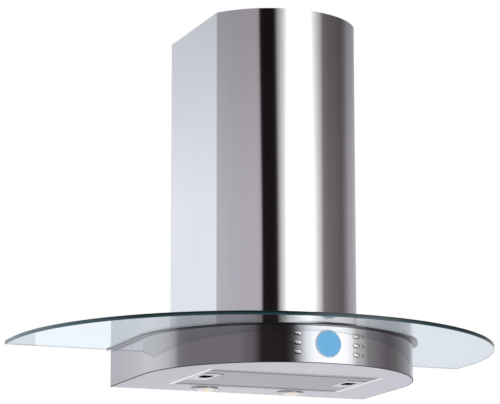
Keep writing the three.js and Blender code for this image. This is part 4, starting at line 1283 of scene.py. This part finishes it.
for place, (x, z) in button_places.items():
    button = to_fascia(copy_of(cap, f"button_cap_{place}"), x, z)
    fit(button, button_metal, f"key_{place}", f"button_{place}")
    sleeve = to_fascia(copy_of(surround, f"button_surround_{place}"), x, z)
    fit(sleeve, black_print, "hood")
    width = ring_stroke if x > 0 else sign_stroke
    sign = one_piece(symbol_lines(signs[place], sign_size, width), f"sign_{place}")
    to_fascia(sign, math.copysign(sign_from_middle, x), z)
    fit(sign, black_print, "hood")
bpy.data.objects.remove(cap)
bpy.data.objects.remove(surround)

# ---- Electronics inside the body ----
# A green circuit board with six small switches behind the buttons, the fan's control box behind it
# and a transformer for the lamps at the left.

board, board_tree, board_look = new_material("green_circuit_board", {"Roughness": 0.4})
upright = {"Vector": own_place(board_tree), "Rotation": (math.radians(90), 0, 0)}
track_values = {
    "Scale": 180, "Color1": (0.012, 0.10, 0.045, 1), "Color2": (0.014, 0.13, 0.055, 1),
    "Mortar": (0.03, 0.22, 0.10, 1), "Mortar Size": 0.03,
}
board_turn = add_node(board_tree, "Mapping", upright)
tracks = add_node(board_tree, "TexBrick", {"Vector": board_turn, **track_values}).node.outputs
board_bump = bumps(board_tree, tracks["Fac"], 0.4, 0.0001)
fill(board_tree, board_look, {"Base Color": tracks["Color"], "Normal": board_bump})
coat_nodes(board, "control_board")
grey_plastic = moulded("grey_moulding", (0.30, 0.31, 0.32), 0.5, 0.15)
coat_nodes(grey_plastic, "control_box", "capacitor")
coat_nodes(black_case, "lamp_transformer")

# ---- Upper chimney cover and its bracket ----
# The same bowed sleeve in a smaller size slides inside the lower one. Slits near its top let the
# air out when the hood recirculates. A galvanised strap screws it to the wall.

upper_inset = 0.0024
vent_count = 7
vent_pitch = 0.014
vent_first = -0.070
vent_width = 0.005
vent_height = 0.042
vent_drop = 0.060

upper_low, upper_high = (corner.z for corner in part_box("upper_chimney"))
upper_chimney = bowed_sleeve(
    "upper_chimney_cover", chimney_half - upper_inset, chimney_bow - upper_inset,
    chimney_depth - upper_inset, upper_inset, upper_low, upper_high, chimney_fold,
)
open_sleeve(upper_chimney, chimney_half - upper_inset, chimney_lip, chimney_sheet)
vent_top = upper_high - vent_drop
vent_radius = vent_width / 2
vent = bar_along("X", vent_radius, -0.2, 0.2, (vent_first, vent_top - vent_radius), 16, "vent_slot")
edit_mesh()
split_at((0, 0, vent_top - vent_radius), (0, 0, 1))
choose(lambda vert: vert.co.z < vent_top - vent_radius - hair, "verts")
bpy.ops.transform.translate(value=(0, 0, vent_width - vent_height))
end_edit()
repeat(vent, vent_count, (0, -vent_pitch, 0))
cut(upper_chimney, vent)
round_edges(upper_chimney)
fit(upper_chimney, upright_satin, "upper_cover", "upper_chimney")
coat_nodes(bracket_zinc, "upper_bracket")

# ---- Motor box ----
# A deep box of galvanised sheet, open below, with pressed panels in its sides and a flange that four
# screws clamp down on the glass. It carries everything above.

box_sheet = 0.001
panel_margin = 0.022
panel_press = 0.0012
outlet_radius = 0.073

wall_low = Vector((box_low.x + box_flange, box_low.y + box_flange, box_low.z))
wall_high = Vector((box_high.x - box_flange, box_high.y, box_high.z))
motor_box = block_between(wall_low, wall_high, "galvanised_motor_box")
edit_mesh()
choose(lambda face: abs(face.normal.z) < 0.1)
bpy.ops.mesh.inset(thickness=panel_margin, use_individual=True)
choose(
    lambda face: abs(face.normal.z) < 0.1
    and all(wall_low.z + 0.01 < v.co.z < wall_high.z - 0.01 for v in face.verts)
)
bpy.ops.mesh.inset(thickness=0.003, use_individual=True)
bpy.ops.transform.shrink_fatten(value=-panel_press)
choose(lambda face: face.normal.z < -0.9)
bpy.ops.mesh.delete(type="ONLY_FACE")
end_edit()
modify(motor_box, "SOLIDIFY", thickness=box_sheet, offset=-1)
foot = block_between(box_low, (box_high.x, box_high.y, box_low.z + box_sheet))
inside_low = (wall_low.x + box_sheet / 2, wall_low.y + box_sheet / 2, box_low.z - past)
inside_high = (wall_high.x - box_sheet / 2, wall_high.y - box_sheet / 2, box_low.z + past)
cut(foot, block_between(inside_low, inside_high))
cut(motor_box, foot, "UNION")
collar_low, collar_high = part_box("outlet_collar")
collar_at = ((collar_low.x + collar_high.x) / 2, (collar_low.y + collar_high.y) / 2)
cut(motor_box, bar_along("Z", outlet_radius, box_high.z - past, box_high.z + past, collar_at, 96))
for place in screw_places:
    cut(motor_box, bar_along("Z", screw_hole, box_low.z - past, box_low.z + past, (place.x, place.y), 24))
round_edges(motor_box)
fit(motor_box, galvanised, "hood", "motor_box")

# ---- Clamping screws ----
# Four pan-head screws with crossed slots hold the flange, the pane and the seat plate together.

head_radius = 0.0045
shank_radius = 0.0024
slot_half = 0.0005
slot_reach = 0.0026
slot_depth = 0.0014
head_height = 0.0026
head_round = 0.0012
thread_count, thread_first, thread_pitch, thread_width, thread_rise = 8, 0.0015, 0.0011, 0.0005, 0.0001

screw_plating = brushed_steel("zinc_plated_screw", (0.62, 0.62, 0.58), "Z", roughness=0.28, grain=0.1)
low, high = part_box("clamp_screw_1")
model_screw = bar_along("Z", head_radius, high.z - head_height, high.z, (0, 0), 32, "clamp_screw")
edit_mesh()
choose(lambda edge: all(v.co.z > high.z - 0.0001 for v in edge.verts), "edges")
bpy.ops.mesh.bevel(offset=head_round, segments=4)
end_edit()
for size_x, size_y in ((slot_reach, slot_half), (slot_half, slot_reach)):
    slot_floor = (-size_x, -size_y, high.z - slot_depth)
    cut(model_screw, block_between(slot_floor, (size_x, size_y, high.z + past)))
cut(model_screw, bar_along("Z", shank_radius, low.z, high.z - 0.0016, (0, 0), 24), "UNION")
for turn in range(thread_count):
    level = low.z + thread_first + turn * thread_pitch
    thread = bar_along("Z", shank_radius + thread_rise, level, level + thread_width, (0, 0), 24)
    cut(model_screw, thread, "UNION")
round_edges(model_screw, 0.0001, 1)
for number, place in enumerate(screw_places, 1):
    screw = copy_of(model_screw, f"cross_head_screw_{number}")
    screw.location = (place.x, place.y, 0)
    settle(screw)
    fit(screw, screw_plating, "hood", f"clamp_screw_{number}")
bpy.data.objects.remove(model_screw)

# ---- Fan ----
# A double-inlet wheel of grey plastic runs in a spiral casing of two black halves, turned by a motor
# on a three-armed bracket. The motor's can is zinc plated and its shaft ground bright.

black_plastic = moulded("black_moulding", (0.020, 0.020, 0.022), 0.48, 0.15)
coat_nodes(black_plastic, "scroll_half_left", "scroll_half_right")
wheel_plastic = moulded("grey_wheel_moulding", (0.22, 0.225, 0.235), 0.42, 0.12)
coat_nodes(wheel_plastic, "impeller")
motor_plating = zinc_coated("plated_motor_can", (0.56, 0.56, 0.55), 0.32, 240)
coat_nodes(motor_plating, "motor", "motor_bracket")
ground_steel = brushed_steel("ground_shaft", (0.70, 0.70, 0.71), "X", roughness=0.2)
coat_nodes(ground_steel, "motor_shaft")

# ---- Air outlet ----
# A round collar of black plastic for a 150 mm duct, with a flange screwed to the motor box and a
# lip inside. Two half-round flaps turn on a steel pin across it and keep outside air out.

collar_radius = 0.075
collar_bore = 0.073
collar_flange = 0.080
flange_thickness = 0.002
lip_reach = 0.005
lip_top = 0.018
duct_beads = (0.030, 0.044)
bead_rise = 0.0006
bead_thickness = 0.0018
collar_screw_circle = 0.0775
collar_screw = 0.0012

collar = bar_along("Z", collar_radius, collar_low.z, collar_high.z, collar_at, 128, "duct_collar")
flange_plate = bar_along("Z", collar_flange, collar_low.z, collar_low.z + flange_thickness, collar_at, 128)
cut(collar, flange_plate, "UNION")
for bead in duct_beads:
    level = collar_low.z + bead
    round_bead = bar_along("Z", collar_radius + bead_rise, level, level + bead_thickness, collar_at, 128)
    cut(collar, round_bead, "UNION")
for bore, bottom, top in (
    (collar_bore - lip_reach, collar_low.z - past, collar_high.z + past),
    (collar_bore, collar_low.z + lip_top, collar_high.z + past),
    (collar_bore, collar_low.z - past, collar_low.z + lip_top - 0.002),
):
    cut(collar, bar_along("Z", bore, bottom, top, collar_at, 128))
pin_low, pin_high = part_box("damper_pin")
pin_place = ((pin_low.y + pin_high.y) / 2, (pin_low.z + pin_high.z) / 2)
cut(collar, bar_along("X", 0.0023, -0.09, 0.09, pin_place, 24))


def round_about(centre, radius, count, first=0):
    """Places spread evenly on a circle."""
    turns = [math.radians(first + 360 / count * number) for number in range(count)]
    return [(centre[0] + radius * math.cos(turn), centre[1] + radius * math.sin(turn)) for turn in turns]


for at in round_about(collar_at, collar_screw_circle, 4, 45):
    cut(collar, bar_along("Z", collar_screw, collar_low.z - past, collar_low.z + past, at, 16))
round_edges(collar)
fit(collar, black_plastic, "hood", "outlet_collar")
coat_nodes(ground_steel, "damper_pin")
coat_nodes(wheel_plastic, "damper_flap_front", "damper_flap_rear")

# ---- Mains connection ----
# A grey junction box with a screwed lid on top of the motor box, and in its top a black cable gland.
# The mains lead that enters through the gland belongs to the installation.

lid_line = 0.0006
lid_drop = 0.006
box_corner = 0.003
lid_screw = 0.0024
lid_screw_depth = 0.0012
lid_screw_at = (0.0105, 0.0155)
nut_radius = 0.0109
nut_height = 0.006
dome_radius = 0.0085
groove_circle = 0.0088
groove_radius = 0.0009
dome_start = 0.0055
dome_round = 0.0022
groove_from_foot, groove_from_top = 0.0075, 0.0035
lead_hole = 0.004

terminal_low, terminal_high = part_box("terminal_box")
terminal = block_between(terminal_low, terminal_high, "junction_box")
edit_mesh()
choose(lambda edge: abs(edge.verts[0].co.z - edge.verts[1].co.z) > 0.01, "edges")
bpy.ops.mesh.bevel(offset=box_corner, segments=4)
end_edit()
line_top = terminal_high.z - lid_drop
groove = block_between(
    (terminal_low.x - past, terminal_low.y - past, line_top - lid_line),
    (terminal_high.x + past, terminal_high.y + past, line_top),
)
cut(
    groove,
    block_between(
        (terminal_low.x + lid_line, terminal_low.y + lid_line, line_top - past),
        (terminal_high.x - lid_line, terminal_high.y - lid_line, line_top + past),
    ),
)
cut(terminal, groove)
for corner_x, corner_y in ((1, 1), (-1, -1)):
    at = (
        (terminal_low.x + terminal_high.x) / 2 + corner_x * lid_screw_at[0],
        (terminal_low.y + terminal_high.y) / 2 + corner_y * lid_screw_at[1],
    )
    screw_floor = terminal_high.z - lid_screw_depth
    cut(terminal, bar_along("Z", lid_screw, screw_floor, terminal_high.z + past, at, 20))
round_edges(terminal, 0.0006)
fit(terminal, grey_plastic, "hood", "terminal_box")

gland_low, gland_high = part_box("cable_gland")
gland_at = ((gland_low.x + gland_high.x) / 2, (gland_low.y + gland_high.y) / 2)
gland = bar_along("Z", nut_radius, gland_low.z, gland_low.z + nut_height, gland_at, 6, "gland")
cut(gland, bar_along("Z", dome_radius, gland_low.z + dome_start, gland_high.z, gland_at, 48), "UNION")
groove_low, groove_high = gland_low.z + groove_from_foot, gland_high.z - groove_from_top
for at in round_about(gland_at, groove_circle, 12):
    cut(gland, bar_along("Z", groove_radius, groove_low, groove_high, at, 10))
edit_mesh()
choose(
    lambda edge: all(v.co.z > gland_high.z - 0.0001 for v in edge.verts)
    and all(
        abs(math.hypot(v.co.x - gland_at[0], v.co.y - gland_at[1]) - dome_radius) < 0.0003
        for v in edge.verts
    ),
    "edges",
)
bpy.ops.mesh.bevel(offset=dome_round, segments=5)
end_edit()
cut(gland, bar_along("Z", lead_hole, gland_low.z - past, gland_high.z + past, gland_at, 32))
round_edges(gland, 0.0002)
fit(gland, black_plastic, "hood", "cable_gland")
